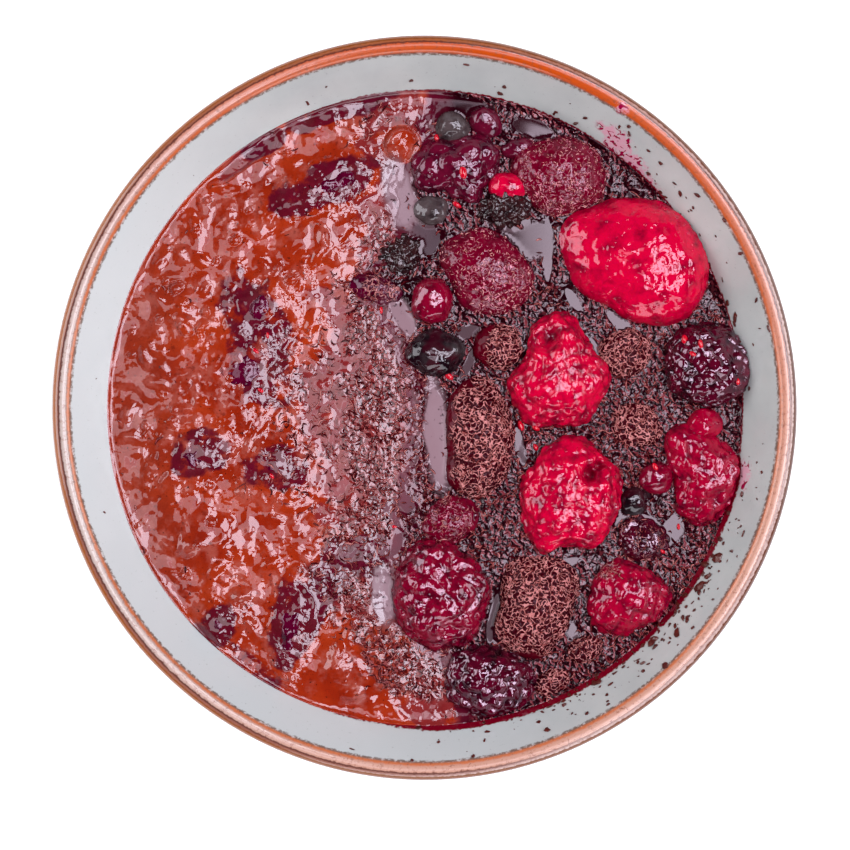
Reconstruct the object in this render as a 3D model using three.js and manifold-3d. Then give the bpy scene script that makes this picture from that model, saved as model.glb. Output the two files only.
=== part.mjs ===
// Chocolate rice pudding in a round stoneware bowl, with berries in dark syrup over its right side.
// Millimetres, +Z up. The origin is the centre of the foot ring's underside.
// +X points to the berry side, and +Y points away from the front of the bowl.
import * as THREE from 'three';
import Module from 'manifold-3d';
import { mergeVertices } from 'three/addons/utils/BufferGeometryUtils.js';

const wasm = await Module();
wasm.setup();

// Driving dimensions of the bowl
const BOWL_HEIGHT = 55;
const RIM_RADIUS = 78;
const WALL = 4.2;
const INSIDE_FLOOR = 7;
const FLAT_FLOOR_RADIUS = 18;
const FLOOR_REACH = 46;
const WALL_FLARE = 0.57;
const WALL_STRAIGHT = 28;
const FOOT_RADIUS = 36;
const FOOT_WIDTH = 5;
const FOOT_RECESS = 2.5;
const FOOT_BEVEL = 0.7;
const WALL_START = 0.25;
const BOWL_SIDES = 48;
const INSIDE_STEPS = 7;
const OUTSIDE_STEPS = 6;
const LIP_STEPS = 5;

// Driving dimensions of the food
const GAP = 0.35;
const FACET_GAP = 0.1;
const SYRUP_LEVEL = 42.5;
const PUDDING_LEVEL = 43;
const POOL_FLOOR = 27;
const FOOD_SIDES = 48;
const FOOD_STEPS = 4;
const EDGE_STEPS = 22;
const ROOM_SIDES = 11;
const LARGE_BERRY = 30;
const WALL_SIDE = 58;
const TAPER_FROM = -0.35;
const TAPER_CURVE = 0.55;
const MOUND_SIDES = 10;
const MOUND_ROWS = 5;
const MOUND_DEPTH = 1.6;

// Swollen rice grains that show in the pudding
const GRAIN = { length: 7, width: 3.4, height: 3, rise: 1.2, spread: 0.3, tilt: 0.5 };
const GRAIN_TRIES = 6000;
const GRAIN_SPACING = 5.8;
const GRAIN_REACH = 0.55;
const GRAIN_SEED = 11;

// Soft mounds of the pudding: place, size across and rise above the level
const MOUNDS = [
  { at: [-13, -55], size: [34, 15], turn: 8, rise: 2 },
  { at: [-5, 56.6], size: [7.4, 7.2], turn: 0, rise: 2.4 },
  { at: [-22, 38], size: [20, 13], turn: 35, rise: 1.3 },
  { at: [-46, -28], size: [18, 14], turn: -40, rise: 1.4 },
  { at: [-52, 14], size: [16, 22], turn: 10, rise: 1.2 },
];

// Where the syrup pool meets the pudding, from the back of the bowl to its front
const POOL_EDGE = [
  [0, 75], [-1.4, 60.4], [-7.4, 49.8], [-8.4, 37], [-15.5, 26.3], [-8.4, 16.7],
  [-5.2, -2.6], [-6.3, -19.7], [-8.4, -32.5], [-5.5, -48.5], [3.3, -55], [3.3, -75],
];

// Colours of the parts
const COLOURS = {
  glaze: 0xc9cacb,
  pudding: 0x8f3d24,
  syrup: 0x3d0614,
  strawberry: 0x9c0a30,
  raspberry: 0xb80a38,
  bramble: 0x4b0a24,
  bilberry: 0x1d1620,
  currant: 0xb4062c,
  choc: 0x3f1616,
  sunk: 0x3a0a1e,
};

// Berries in the syrup. Those first in the list lie on top of those that follow.
// at: centre, size: length, width and thickness, turn: degrees about Z, rise: top above the syrup.
const BERRIES = [
  { name: 'strawberry_large', kind: 'strawberry', at: [44.6, 31.2], size: [37.4, 28.6, 20], turn: -24, rise: 7.6 },
  { name: 'raspberry_upper', kind: 'raspberry', at: [28.9, 7.7], size: [25.4, 22.6, 17], turn: 80, rise: 7.2 },
  { name: 'raspberry_middle', kind: 'raspberry', at: [30.4, -18.2], size: [24.6, 23.6, 17], turn: 60, rise: 7.2 },
  { name: 'raspberry_left', kind: 'raspberry', at: [3.3, -38.9], size: [25.2, 21.8, 16.5], turn: 100, rise: 6.8 },
  { name: 'raspberry_right', kind: 'raspberry', at: [43.3, -40.6], size: [19.6, 17.2, 14], turn: 12, rise: 5.2 },
  { name: 'bramble_wall', kind: 'bramble', at: [60.2, 9.8], size: [18.6, 18, 15], turn: 0, rise: 7.4 },
  { name: 'bramble_front', kind: 'bramble', at: [14, -57.6], size: [20.4, 15.4, 13.5], turn: 4, rise: 5 },
  { name: 'bramble_back', kind: 'bramble', at: [6.8, 50.6], size: [17.6, 13, 10.5], turn: -8, rise: 4.2 },
  { name: 'strawberry_back', kind: 'strawberry', at: [29.4, 49.6], size: [23.4, 18.4, 15], turn: 168, rise: 6 },
  { name: 'strawberry_left', kind: 'strawberry', at: [13.4, 29], size: [23.6, 18.6, 14.5], turn: -32, rise: 5 },
  { name: 'strawberry_long', kind: 'strawberry', at: [11.9, -6], size: [28.6, 15.4, 13], turn: 86, rise: 4.4 },
  { name: 'strawberry_front', kind: 'strawberry', at: [24.7, -41.8], size: [24, 19.4, 14], turn: 96, rise: 4.6 },
  { name: 'raspberry_torn', kind: 'raspberry', at: [58.9, -15], size: [22, 15, 12.5], turn: 112, rise: 5.2,
    lobe: { at: [59.9, -3.4], size: [7.4, 7, 7], rise: 3.6 } },
  { name: 'raspberry_scrap', kind: 'currant', at: [49.6, -14.8], size: [7.4, 7, 7], turn: 0, rise: 3 },
  { name: 'currant_bright', kind: 'currant', at: [17.7, 47.2], size: [8.2, 6.6, 6.6], turn: -20, rise: 4.4 },
  { name: 'currant_left', kind: 'currant', at: [1.6, 23.1], size: [10.2, 9.2, 9], turn: 80, rise: 4 },
  { name: 'bilberry_black', kind: 'bilberry', at: [2.7, 12], size: [13, 10.2, 9.6], turn: 8, rise: 3.8 },
  { name: 'bilberry_hidden', kind: 'bilberry', at: [17.5, 42.2], size: [11, 7.4, 8], turn: 10, rise: 2.2 },
  { name: 'bilberry_back', kind: 'bilberry', at: [5.9, 60.3], size: [8, 6.6, 7], turn: 0, rise: 2.8 },
  { name: 'bilberry_pair', kind: 'bilberry', at: [12.8, 61], size: [8, 6.4, 6.6], turn: -30, rise: 2 },
  { name: 'bilberry_small', kind: 'bilberry', at: [1.3, 42.4], size: [7.4, 6.6, 6.8], turn: 0, rise: 2.6 },
  { name: 'berry_round', kind: 'choc', at: [16, 13], size: [11.2, 10.4, 9.6], turn: 0, rise: 3.4 },
  { name: 'berry_centre', kind: 'raspberry', at: [5.6, -24], size: [13, 10.4, 9.6], turn: 20, rise: 3.4 },
  { name: 'berry_right', kind: 'bramble', at: [46.8, -28.2], size: [11.6, 10, 9.6], turn: 0, rise: 3.4 },
  { name: 'berry_dark', kind: 'bilberry', at: [45, -19.9], size: [6.6, 6.2, 6.2], turn: 0, rise: 1.8 },
  { name: 'berry_scrap', kind: 'choc', at: [34.4, -51.4], size: [8.4, 5.8, 6], turn: 28, rise: 2.2 },
  { name: 'berry_upper', kind: 'bilberry', at: [19.8, 55.6], size: [7, 4.6, 5], turn: 8, rise: 2 },
  { name: 'berry_under_upper', kind: 'choc', at: [43, 11.6], size: [13.4, 11.4, 9], turn: 30, rise: 2.4 },
  { name: 'berry_under_middle', kind: 'choc', at: [45.4, -3.6], size: [13.4, 11, 9], turn: -20, rise: 2.2 },
  { name: 'berry_under_wall', kind: 'choc', at: [27.4, -58.6], size: [9, 6.4, 6], turn: 26, rise: 1.6 },
  { name: 'crumb_cluster', kind: 'choc', at: [-4.9, 33.2], size: [9.6, 8.6, 6], turn: 0, rise: 1.8 },
  { name: 'dark_piece', kind: 'choc', at: [-10.6, 25.6], size: [12.4, 6.4, 5.6], turn: -12, rise: 1.9 },
];

// Dark berry pieces that show in the pudding, sunk to near their tops
const SUNK_PIECES = [
  { name: 'pudding_berry_back', kind: 'sunk', at: [-21.3, 47.6], size: [19.6, 5.4, 5], turn: 24, rise: 1.5 },
  { name: 'pudding_berry_upper', kind: 'sunk', at: [-34.8, 21.6], size: [11, 6, 5], turn: 45, rise: 1.5 },
  { name: 'pudding_berry_middle', kind: 'sunk', at: [-38.6, 8.4], size: [17, 10.4, 6], turn: 72, rise: 1.8 },
  { name: 'pudding_berry_left', kind: 'sunk', at: [-48.6, -9.8], size: [10.8, 7.6, 5], turn: 30, rise: 1.5 },
  { name: 'pudding_berry_low', kind: 'sunk', at: [-32.2, -13.2], size: [9.4, 7.4, 5], turn: -15, rise: 1.5 },
  { name: 'pudding_berry_front', kind: 'sunk', at: [-28.6, -46.2], size: [14.2, 5, 5], turn: 80, rise: 1.5 },
  { name: 'pudding_berry_wall', kind: 'sunk', at: [-44.6, -46.6], size: [7, 5.6, 5], turn: 40, rise: 1.5 },
];

// For each kind: rows of faces on its ball, depth of the seams between drupelets, taper and roughness
const KINDS = {
  strawberry: { rows: 2, bumps: 0, taper: 0.3, roughness: 0.25 },
  raspberry: { rows: 2, bumps: 0.1, taper: 0.14, roughness: 0.25 },
  bramble: { rows: 2, bumps: 0.13, taper: 0.06, roughness: 0.3 },
  bilberry: { rows: 1, bumps: 0, taper: 0, roughness: 0.2 },
  currant: { rows: 1, bumps: 0, taper: 0, roughness: 0.15 },
  choc: { rows: 1, bumps: 0, taper: 0.08, roughness: 0.6 },
  sunk: { rows: 1, bumps: 0, taper: 0, roughness: 0.4 },
};

function seededDraw(seed) {
  let state = seed;
  return () => {
    state = (state * 1664525 + 1013904223) % 4294967296;
    return state / 4294967296;
  };
}

// A closed geometry as a solid that can be joined and cut
function solidOf(geometry) {
  const bare = geometry.clone();
  bare.deleteAttribute('normal');
  bare.deleteAttribute('uv');
  const merged = mergeVertices(bare, 1e-4);
  const index = merged.index.array;
  const triangles = [];
  for (let i = 0; i < index.length; i += 3) {
    const [a, b, c] = [index[i], index[i + 1], index[i + 2]];
    if (a !== b && b !== c && c !== a) triangles.push(a, b, c);
  }
  return new wasm.Manifold(new wasm.Mesh({
    numProp: 3,
    vertProperties: new Float32Array(merged.attributes.position.array),
    triVerts: new Uint32Array(triangles),
  }));
}

function geometryOf(solid) {
  const mesh = solid.getMesh();
  const geometry = new THREE.BufferGeometry();
  geometry.setAttribute('position', new THREE.BufferAttribute(mesh.vertProperties, 3));
  geometry.setIndex(new THREE.BufferAttribute(mesh.triVerts, 1));
  geometry.computeVertexNormals();
  return geometry;
}

function turned(profile, sides) {
  const geometry = new THREE.LatheGeometry(profile, sides);
  geometry.rotateX(Math.PI / 2);
  return geometry;
}

// The bowl's inside wall as one curve from the flat floor to the lip
const LIP_RADIUS = WALL / 2;
const LIP_CENTRE = new THREE.Vector2(RIM_RADIUS - LIP_RADIUS, BOWL_HEIGHT - LIP_RADIUS);
const WALL_SLOPE = new THREE.Vector2(WALL_FLARE, 1).normalize();
const LIP_OUTWARD = new THREE.Vector2(WALL_SLOPE.y, -WALL_SLOPE.x);
const LIP_INSIDE = LIP_CENTRE.clone().addScaledVector(LIP_OUTWARD, -LIP_RADIUS);
const INSIDE_CURVE = new THREE.CubicBezierCurve(
  new THREE.Vector2(FLAT_FLOOR_RADIUS, INSIDE_FLOOR),
  new THREE.Vector2(FLOOR_REACH, INSIDE_FLOOR),
  LIP_INSIDE.clone().addScaledVector(new THREE.Vector2(WALL_FLARE, 1), -WALL_STRAIGHT),
  LIP_INSIDE,
);

// A point of the inside curve, moved away from the room inside by the offset
function wallPoint(t, offset) {
  const tangent = INSIDE_CURVE.getTangent(t);
  const point = INSIDE_CURVE.getPoint(t);
  return point.addScaledVector(new THREE.Vector2(tangent.y, -tangent.x), offset);
}

function bowlGeometry() {
  const profile = [
    new THREE.Vector2(0, FOOT_RECESS),
    new THREE.Vector2(FOOT_RADIUS - FOOT_WIDTH - FOOT_BEVEL, FOOT_RECESS),
    new THREE.Vector2(FOOT_RADIUS - FOOT_WIDTH, 0),
    new THREE.Vector2(FOOT_RADIUS - FOOT_BEVEL, 0),
    new THREE.Vector2(FOOT_RADIUS, FOOT_BEVEL),
  ];
  for (let i = 0; i <= OUTSIDE_STEPS; i++) {
    profile.push(wallPoint(WALL_START + (1 - WALL_START) * (i / OUTSIDE_STEPS), WALL));
  }
  const lipStart = Math.atan2(LIP_OUTWARD.y, LIP_OUTWARD.x);
  for (let i = 1; i < LIP_STEPS; i++) {
    const angle = lipStart + Math.PI * (i / LIP_STEPS);
    profile.push(new THREE.Vector2(
      LIP_CENTRE.x + LIP_RADIUS * Math.cos(angle),
      LIP_CENTRE.y + LIP_RADIUS * Math.sin(angle),
    ));
  }
  for (let i = INSIDE_STEPS; i >= 0; i--) profile.push(wallPoint(i / INSIDE_STEPS, 0));
  profile.push(new THREE.Vector2(0, INSIDE_FLOOR));
  return turned(profile, BOWL_SIDES);
}

// The curve's parameter where the inside wall stands at a height
function wallShareAt(height) {
  let low = 0;
  let high = 1;
  for (let i = 0; i < 40; i++) {
    const middle = (low + high) / 2;
    if (INSIDE_CURVE.getPoint(middle).y < height) low = middle;
    else high = middle;
  }
  return low;
}

// The room inside the bowl up to a level, a gap clear of the glaze
function insideRoom(level) {
  const top = wallShareAt(level);
  const clear = GAP + FACET_GAP;
  const profile = [new THREE.Vector2(0, INSIDE_FLOOR + clear)];
  for (let i = 0; i <= FOOD_STEPS; i++) profile.push(wallPoint(top * (i / FOOD_STEPS), -clear));
  const edge = profile[profile.length - 1];
  edge.y = level;
  profile.push(new THREE.Vector2(0, level));
  return solidOf(turned(profile, FOOD_SIDES));
}

// The pool's outline as a column, wide enough to pass the bowl's wall on the right
function poolColumn(outset, floor) {
  const edge = new THREE.SplineCurve(POOL_EDGE.map(([x, y]) => new THREE.Vector2(x, y)));
  const outline = [];
  for (let i = 0; i <= EDGE_STEPS; i++) {
    const t = i / EDGE_STEPS;
    const tangent = edge.getTangent(t);
    outline.push(edge.getPoint(t).addScaledVector(new THREE.Vector2(tangent.y, -tangent.x), outset));
  }
  outline.push(new THREE.Vector2(RIM_RADIUS, -RIM_RADIUS));
  outline.push(new THREE.Vector2(RIM_RADIUS, RIM_RADIUS));
  const geometry = new THREE.ExtrudeGeometry(new THREE.Shape(outline), {
    depth: BOWL_HEIGHT - floor,
    bevelEnabled: false,
  });
  geometry.translate(0, 0, floor);
  return solidOf(geometry);
}

// The smallest distance from the middle of a ball to its flat faces
function inscribedRadius(geometry) {
  const position = geometry.attributes.position;
  const triangle = new THREE.Triangle();
  const normal = new THREE.Vector3();
  let smallest = 1;
  for (let i = 0; i < position.count; i += 3) {
    triangle.setFromAttributeAndIndices(position, i, i + 1, i + 2);
    triangle.getNormal(normal);
    smallest = Math.min(smallest, Math.abs(normal.dot(triangle.a)));
  }
  return smallest;
}

// The places of a berry's drupelets on a ball: the corners and face centres of an icosahedron
function drupeletPlaces() {
  const position = new THREE.IcosahedronGeometry(1, 0).attributes.position;
  const places = [];
  for (let i = 0; i < position.count; i += 3) {
    const middle = new THREE.Vector3();
    for (let k = 0; k < 3; k++) {
      const corner = new THREE.Vector3().fromBufferAttribute(position, i + k);
      places.push(corner);
      middle.add(corner);
    }
    places.push(middle.normalize());
  }
  return places;
}

const DRUPELETS = drupeletPlaces();
const ENVELOPE_ROWS = 1;
const ENVELOPE_INSIDE = inscribedRadius(new THREE.IcosahedronGeometry(1, ENVELOPE_ROWS));

// A ball shaped to a berry: its far end tapers, and the seams between drupelets are pressed in
function shapedBall(berry, rows, bumps, grow) {
  const { taper } = KINDS[berry.kind];
  const geometry = new THREE.IcosahedronGeometry(1, rows);
  const position = geometry.attributes.position;
  const point = new THREE.Vector3();
  const half = berry.size.map((length) => length / 2 + grow);
  for (let i = 0; i < position.count; i++) {
    point.fromBufferAttribute(position, i);
    const onDrupelet = DRUPELETS.some((place) => place.distanceTo(point) < 0.01);
    if (bumps > 0 && !onDrupelet) point.multiplyScalar(1 - bumps);
    const along = Math.max(0, point.x - TAPER_FROM);
    const narrow = 1 - taper * TAPER_CURVE * along * along;
    position.setXYZ(i, point.x * half[0], point.y * half[1] * narrow, point.z * half[2] * narrow);
  }
  geometry.rotateZ(THREE.MathUtils.degToRad(berry.turn));
  return geometry;
}

// Where a berry's middle is, from its top above the level that it lies in
function middleOf(berry, level) {
  return new THREE.Vector3(berry.at[0], berry.at[1], level + berry.rise - berry.size[2] / 2);
}

function berrySolid(berry, level) {
  const { rows, bumps } = KINDS[berry.kind];
  const extra = berry.size[0] > LARGE_BERRY ? 1 : 0;
  const geometry = shapedBall(berry, rows + extra, bumps, 0);
  return solidOf(geometry).translate(middleOf(berry, level).toArray());
}

// A plain ball that holds the whole berry with a gap round it
function berryRoom(berry, level) {
  const geometry = shapedBall(berry, ENVELOPE_ROWS, 0, GAP);
  geometry.scale(1 / ENVELOPE_INSIDE, 1 / ENVELOPE_INSIDE, 1 / ENVELOPE_INSIDE);
  return solidOf(geometry).translate(middleOf(berry, level).toArray());
}

// A straight-sided socket that holds the berry's widest outline, from its underside to above the bowl
function berrySocket(berry, level) {
  const round = 1 / Math.cos(Math.PI / ROOM_SIDES);
  const [length, width, thickness] = berry.size;
  const geometry = new THREE.CylinderGeometry(1, 1, BOWL_HEIGHT, ROOM_SIDES);
  geometry.rotateX(Math.PI / 2);
  geometry.scale((length / 2 + GAP) * round, (width / 2 + GAP) * round, 1);
  geometry.rotateZ(THREE.MathUtils.degToRad(berry.turn));
  const middle = middleOf(berry, level);
  geometry.translate(middle.x, middle.y, middle.z - thickness / 2 - GAP + BOWL_HEIGHT / 2);
  return solidOf(geometry);
}

function partsOf(berry) {
  if (!berry.lobe) return [berry];
  return [berry, { ...berry, ...berry.lobe, kind: 'currant' }];
}

const rooms = [];
const sockets = [];
const group = new THREE.Group();

function addPart(name, geometry, colour, roughness) {
  const material = new THREE.MeshStandardMaterial({ color: colour, roughness, metalness: 0 });
  const mesh = new THREE.Mesh(geometry, material);
  mesh.name = name;
  group.add(mesh);
}

function reachesWall(berry) {
  return Math.hypot(...berry.at) + berry.size[0] / 2 > WALL_SIDE;
}

function touches(roomBox, solid) {
  const box = solid.boundingBox();
  return [0, 1, 2].every((k) => roomBox.min[k] < box.max[k] && box.min[k] < roomBox.max[k]);
}

// Cuts the spaces of the berries placed so far out of a solid, and drops loose scraps
function clearOf(spaces, solid) {
  let result = solid;
  for (const space of spaces) {
    if (touches(space.boundingBox(), result)) result = result.subtract(space);
  }
  return result.decompose().reduce((a, b) => (a.volume() > b.volume() ? a : b));
}

const freeRoom = insideRoom(BOWL_HEIGHT - LIP_RADIUS);

function addBerry(berry, level) {
  const pieces = partsOf(berry);
  let solid = pieces.map((piece) => berrySolid(piece, level)).reduce((a, b) => a.add(b));
  if (reachesWall(berry)) solid = solid.intersect(freeRoom);
  solid = clearOf(rooms, solid);
  for (const piece of pieces) {
    rooms.push(berryRoom(piece, level));
    sockets.push(berrySocket(piece, level));
  }
  addPart(berry.name, geometryOf(solid), COLOURS[berry.kind], KINDS[berry.kind].roughness);
}

function grainSolid(x, y, draw) {
  const geometry = new THREE.IcosahedronGeometry(1, 0);
  const swell = 1 + GRAIN.spread * (draw() - 0.5);
  geometry.scale(GRAIN.length * swell / 2, GRAIN.width * swell / 2, GRAIN.height / 2);
  geometry.rotateY((draw() - 0.5) * GRAIN.tilt);
  geometry.rotateZ(draw() * Math.PI);
  const sink = GRAIN.rise * (1 + GRAIN.spread * (draw() - 0.5)) - GRAIN.height / 2;
  geometry.translate(x, y, PUDDING_LEVEL + sink);
  return solidOf(geometry);
}

function moundSolid(mound) {
  const geometry = new THREE.SphereGeometry(1, MOUND_SIDES, MOUND_ROWS);
  const depth = mound.rise * MOUND_DEPTH;
  geometry.scale(mound.size[0] / 2, mound.size[1] / 2, depth);
  geometry.rotateZ(THREE.MathUtils.degToRad(mound.turn));
  geometry.translate(mound.at[0], mound.at[1], PUDDING_LEVEL + mound.rise - depth);
  return solidOf(geometry);
}

// Grains spread over the pudding side by a seeded draw, kept apart and clear of the berry pieces
function riceGrains() {
  const draw = seededDraw(GRAIN_SEED);
  const edge = new THREE.SplineCurve(POOL_EDGE.map(([x, y]) => new THREE.Vector2(x, y)));
  const edgePoints = edge.getPoints(EDGE_STEPS);
  const reach = GRAIN.length * GRAIN_REACH;
  const limit = INSIDE_CURVE.getPoint(wallShareAt(PUDDING_LEVEL)).x - reach - GAP;
  const placed = [];
  for (let i = 0; i < GRAIN_TRIES; i++) {
    const spot = new THREE.Vector2((draw() * 2 - 1) * limit, (draw() * 2 - 1) * limit);
    const nearest = edgePoints.reduce((best, p) => (p.distanceTo(spot) < best.distanceTo(spot) ? p : best));
    const onPudding = spot.length() < limit && spot.x < nearest.x - reach && nearest.distanceTo(spot) > reach;
    const free = placed.every((other) => other.distanceTo(spot) > GRAIN_SPACING);
    const clear = [...SUNK_PIECES, ...BERRIES].every((piece) => {
      const across = new THREE.Vector2(spot.x - piece.at[0], spot.y - piece.at[1]);
      across.rotateAround(new THREE.Vector2(), -THREE.MathUtils.degToRad(piece.turn));
      const [length, width] = piece.size;
      return Math.hypot(across.x / (length / 2 + reach), across.y / (width / 2 + reach)) > 1;
    });
    if (onPudding && free && clear) placed.push(spot);
  }
  return placed.map((spot) => grainSolid(spot.x, spot.y, draw));
}

function puddingSolid() {
  let relief = insideRoom(PUDDING_LEVEL);
  for (const mound of MOUNDS) relief = relief.add(moundSolid(mound));
  for (const grain of riceGrains()) relief = relief.add(grain);
  return relief.subtract(poolColumn(GAP, POOL_FLOOR - GAP));
}

addPart('bowl', bowlGeometry(), COLOURS.glaze, 0.3);
for (const berry of BERRIES) addBerry(berry, SYRUP_LEVEL);
for (const piece of SUNK_PIECES) addBerry(piece, PUDDING_LEVEL);
const pool = insideRoom(SYRUP_LEVEL).intersect(poolColumn(0, POOL_FLOOR));
addPart('pudding', geometryOf(clearOf(sockets, puddingSolid())), COLOURS.pudding, 0.35);
addPart('berry_syrup', geometryOf(clearOf(sockets, pool)), COLOURS.syrup, 0.1);

export default group;
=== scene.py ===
"""Chocolate rice pudding in a stoneware bowl, with berries in syrup and grated chocolate on its right side.

Lengths are written in millimetres and turned into metres when a mesh is made. +X points to the berry side.
The camera looks straight down, as in the photograph.
"""

import math

import bmesh
import bpy
import numpy as np
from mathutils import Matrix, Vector
from mathutils.bvhtree import BVHTree
from mathutils.kdtree import KDTree


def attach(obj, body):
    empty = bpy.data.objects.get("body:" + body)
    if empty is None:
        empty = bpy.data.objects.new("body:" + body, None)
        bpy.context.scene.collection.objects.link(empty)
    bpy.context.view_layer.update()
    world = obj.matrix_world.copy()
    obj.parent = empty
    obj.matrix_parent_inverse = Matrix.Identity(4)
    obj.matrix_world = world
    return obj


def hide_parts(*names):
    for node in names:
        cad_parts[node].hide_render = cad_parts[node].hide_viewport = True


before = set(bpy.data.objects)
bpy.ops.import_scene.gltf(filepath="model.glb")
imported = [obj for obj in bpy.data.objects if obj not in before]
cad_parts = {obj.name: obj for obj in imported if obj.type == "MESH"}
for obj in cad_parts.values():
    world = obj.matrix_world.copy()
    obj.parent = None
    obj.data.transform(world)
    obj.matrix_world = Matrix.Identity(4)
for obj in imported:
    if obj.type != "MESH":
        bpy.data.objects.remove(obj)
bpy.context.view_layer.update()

MM = 0.001

# The bowl
BOWL_HEIGHT = 55
RIM_RADIUS = 78
WALL = 4.2
INSIDE_FLOOR = 7
FLAT_FLOOR_RADIUS = 18
FLOOR_REACH = 46
WALL_FLARE = 0.57
WALL_STRAIGHT = 28
FOOT_RADIUS = 36
FOOT_WIDTH = 5
FOOT_RECESS = 2.5
FOOT_BEVEL = 0.7
FOOT_ROUNDING = 0.3
FOOT_EDGE = 0.2
FOOT_TREAD = 2.5
WALL_START = 0.25
LIP_RADIUS = WALL / 2
AXIS_HOLE = 0.2
OUT_OF_ROUND = 0.0012
RIM_WAVE = 0.12

# Steps of the bowl's profile, from the underside round the lip to the inside floor, and of its turn
UNDERSIDE_STEPS = 12
OUTER_WALL_STEPS = 46
LIP_STEPS = 26
WALL_STEPS = 60
FLOOR_STEPS = 8
BOWL_SIDES = 216

# The share of the lip's steps that count as its inner side
LIP_INSIDE_SHARE = 0.86

# The food
SYRUP_LEVEL = 42.5
PUDDING_LEVEL = 43
POOL_FLOOR = 27
EDGE_RISE = 0.7
EDGE_REACH = 0.5
INTO_GLAZE = 0.12
SKIRT_TOP = 0.6
SKIRT_GAP = 0.3
SHEET_ROWS = 380
PUDDING_COLUMNS = 205
SYRUP_COLUMNS = 225
SKIRT_STEPS = 7

# The pudding under the pool's floor: its divisions, and its gaps to the wall, the bowl's floor and the pool
BASE_STEPS = 12
BASE_SIDES = 72
BASE_GAP = 0.35
BASE_OVER_FLOOR = 0.4
BASE_UNDER_POOL = 0.05

# Where the syrup pool meets the pudding, from the back of the bowl to its front
POOL_EDGE = [
    (0, 75), (-1.4, 60.4), (-7.4, 49.8), (-8.4, 37), (-15.5, 26.3), (-8.4, 16.7),
    (-5.2, -2.6), (-6.3, -19.7), (-8.4, -32.5), (-5.5, -48.5), (3.3, -55), (3.3, -75),
]

# Soft mounds of the pudding: centre, size across, turn in degrees and rise
MOUNDS = [
    ((-13, -55), (34, 15), 8, 2.0),
    ((-22, 38), (20, 13), 35, 1.3),
    ((-46, -28), (18, 14), -40, 1.4),
    ((-52, 14), (16, 22), 10, 1.2),
]

# The one whole swollen grain cluster that stands up as a ball
ORANGE_BALL = {"at": (-5, 56.6), "radius": 3.7, "rise": 2.4, "sunk": 0.4}

# Berries in the syrup. Those first in the list lie on top of those that follow.
# name, kind, centre, (length, width, thickness), turn in degrees, rise of the top above the syrup
BERRIES = [
    ("strawberry_large", "strawberry", (44.6, 31.2), (37.4, 28.6, 20), -24, 7.6),
    ("raspberry_upper", "raspberry", (28.9, 7.7), (25.4, 22.6, 17), 80, 7.2),
    ("raspberry_middle", "raspberry", (30.4, -18.2), (24.6, 23.6, 17), 60, 7.2),
    ("raspberry_left", "raspberry", (3.3, -38.9), (25.2, 21.8, 16.5), 100, 6.8),
    ("raspberry_right", "raspberry", (43.3, -40.6), (19.6, 17.2, 14), 12, 5.2),
    ("bramble_wall", "bramble", (60.2, 9.8), (18.6, 18, 15), 0, 7.4),
    ("bramble_front", "bramble", (14, -57.6), (20.4, 15.4, 13.5), 4, 5),
    ("bramble_back", "lobed", (6.8, 50.6), (17.6, 13, 10.5), -8, 4.2),
    ("strawberry_back", "strawberry", (29.4, 49.6), (23.4, 18.4, 15), 168, 6),
    ("strawberry_left", "strawberry", (13.4, 29), (23.6, 18.6, 14.5), -32, 5),
    ("strawberry_long", "strawberry", (11.9, -6), (28.6, 15.4, 13), 86, 4.4),
    ("strawberry_front", "strawberry", (24.7, -41.8), (24, 19.4, 14), 96, 4.6),
    ("raspberry_torn", "raspberry", (58.9, -15), (22, 15, 12.5), 112, 5.2),
    ("raspberry_scrap", "currant", (49.6, -14.8), (7.4, 7, 7), 0, 3),
    ("currant_bright", "currant", (17.7, 47.2), (8.2, 6.6, 6.6), -20, 3.7),
    ("currant_left", "currant", (1.6, 23.1), (10.2, 9.2, 9), 80, 4),
    ("bilberry_black", "bilberry", (2.7, 12), (13, 10.2, 9.6), 8, 3.8),
    ("bilberry_hidden", "clump", (17.4, 43.0), (11, 7.8, 8), 10, 3.9),
    ("bilberry_back", "bilberry", (5.9, 60.3), (8, 6.6, 7), 0, 2.8),
    ("bilberry_pair", "bilberry", (12.8, 61), (8, 6.4, 6.6), -30, 2),
    ("bilberry_small", "bilberry", (1.3, 42.4), (7.4, 6.6, 6.8), 0, 2.6),
    ("berry_round", "choc", (16, 13), (11.2, 10.4, 9.6), 0, 3.4),
    ("berry_centre", "raspberry", (5.6, -24), (13, 10.4, 9.6), 20, 3.4),
    ("berry_right", "bramble", (46.8, -28.2), (11.6, 10, 9.6), 0, 3.4),
    ("berry_dark", "bilberry", (45, -19.9), (6.6, 6.2, 6.2), 0, 1.8),
    ("berry_scrap", "choc", (34.4, -51.4), (8.4, 5.8, 6), 28, 2.2),
    ("berry_upper", "bilberry", (19.8, 55.6), (7, 4.6, 5), 8, 2),
    ("berry_under_upper", "choc", (43, 11.6), (13.4, 11.4, 9), 30, 2.4),
    ("berry_under_middle", "choc", (45.4, -3.6), (13.4, 11, 9), -20, 2.2),
    ("berry_under_wall", "choc", (27.4, -58.6), (9, 6.4, 6), 26, 1.6),
    ("crumb_cluster", "clump", (-4.9, 33.2), (9.6, 8.6, 6), 0, 1.8),
    ("dark_piece", "choc", (-10.6, 25.6), (12.4, 6.4, 5.6), -12, 1.9),
]

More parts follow.
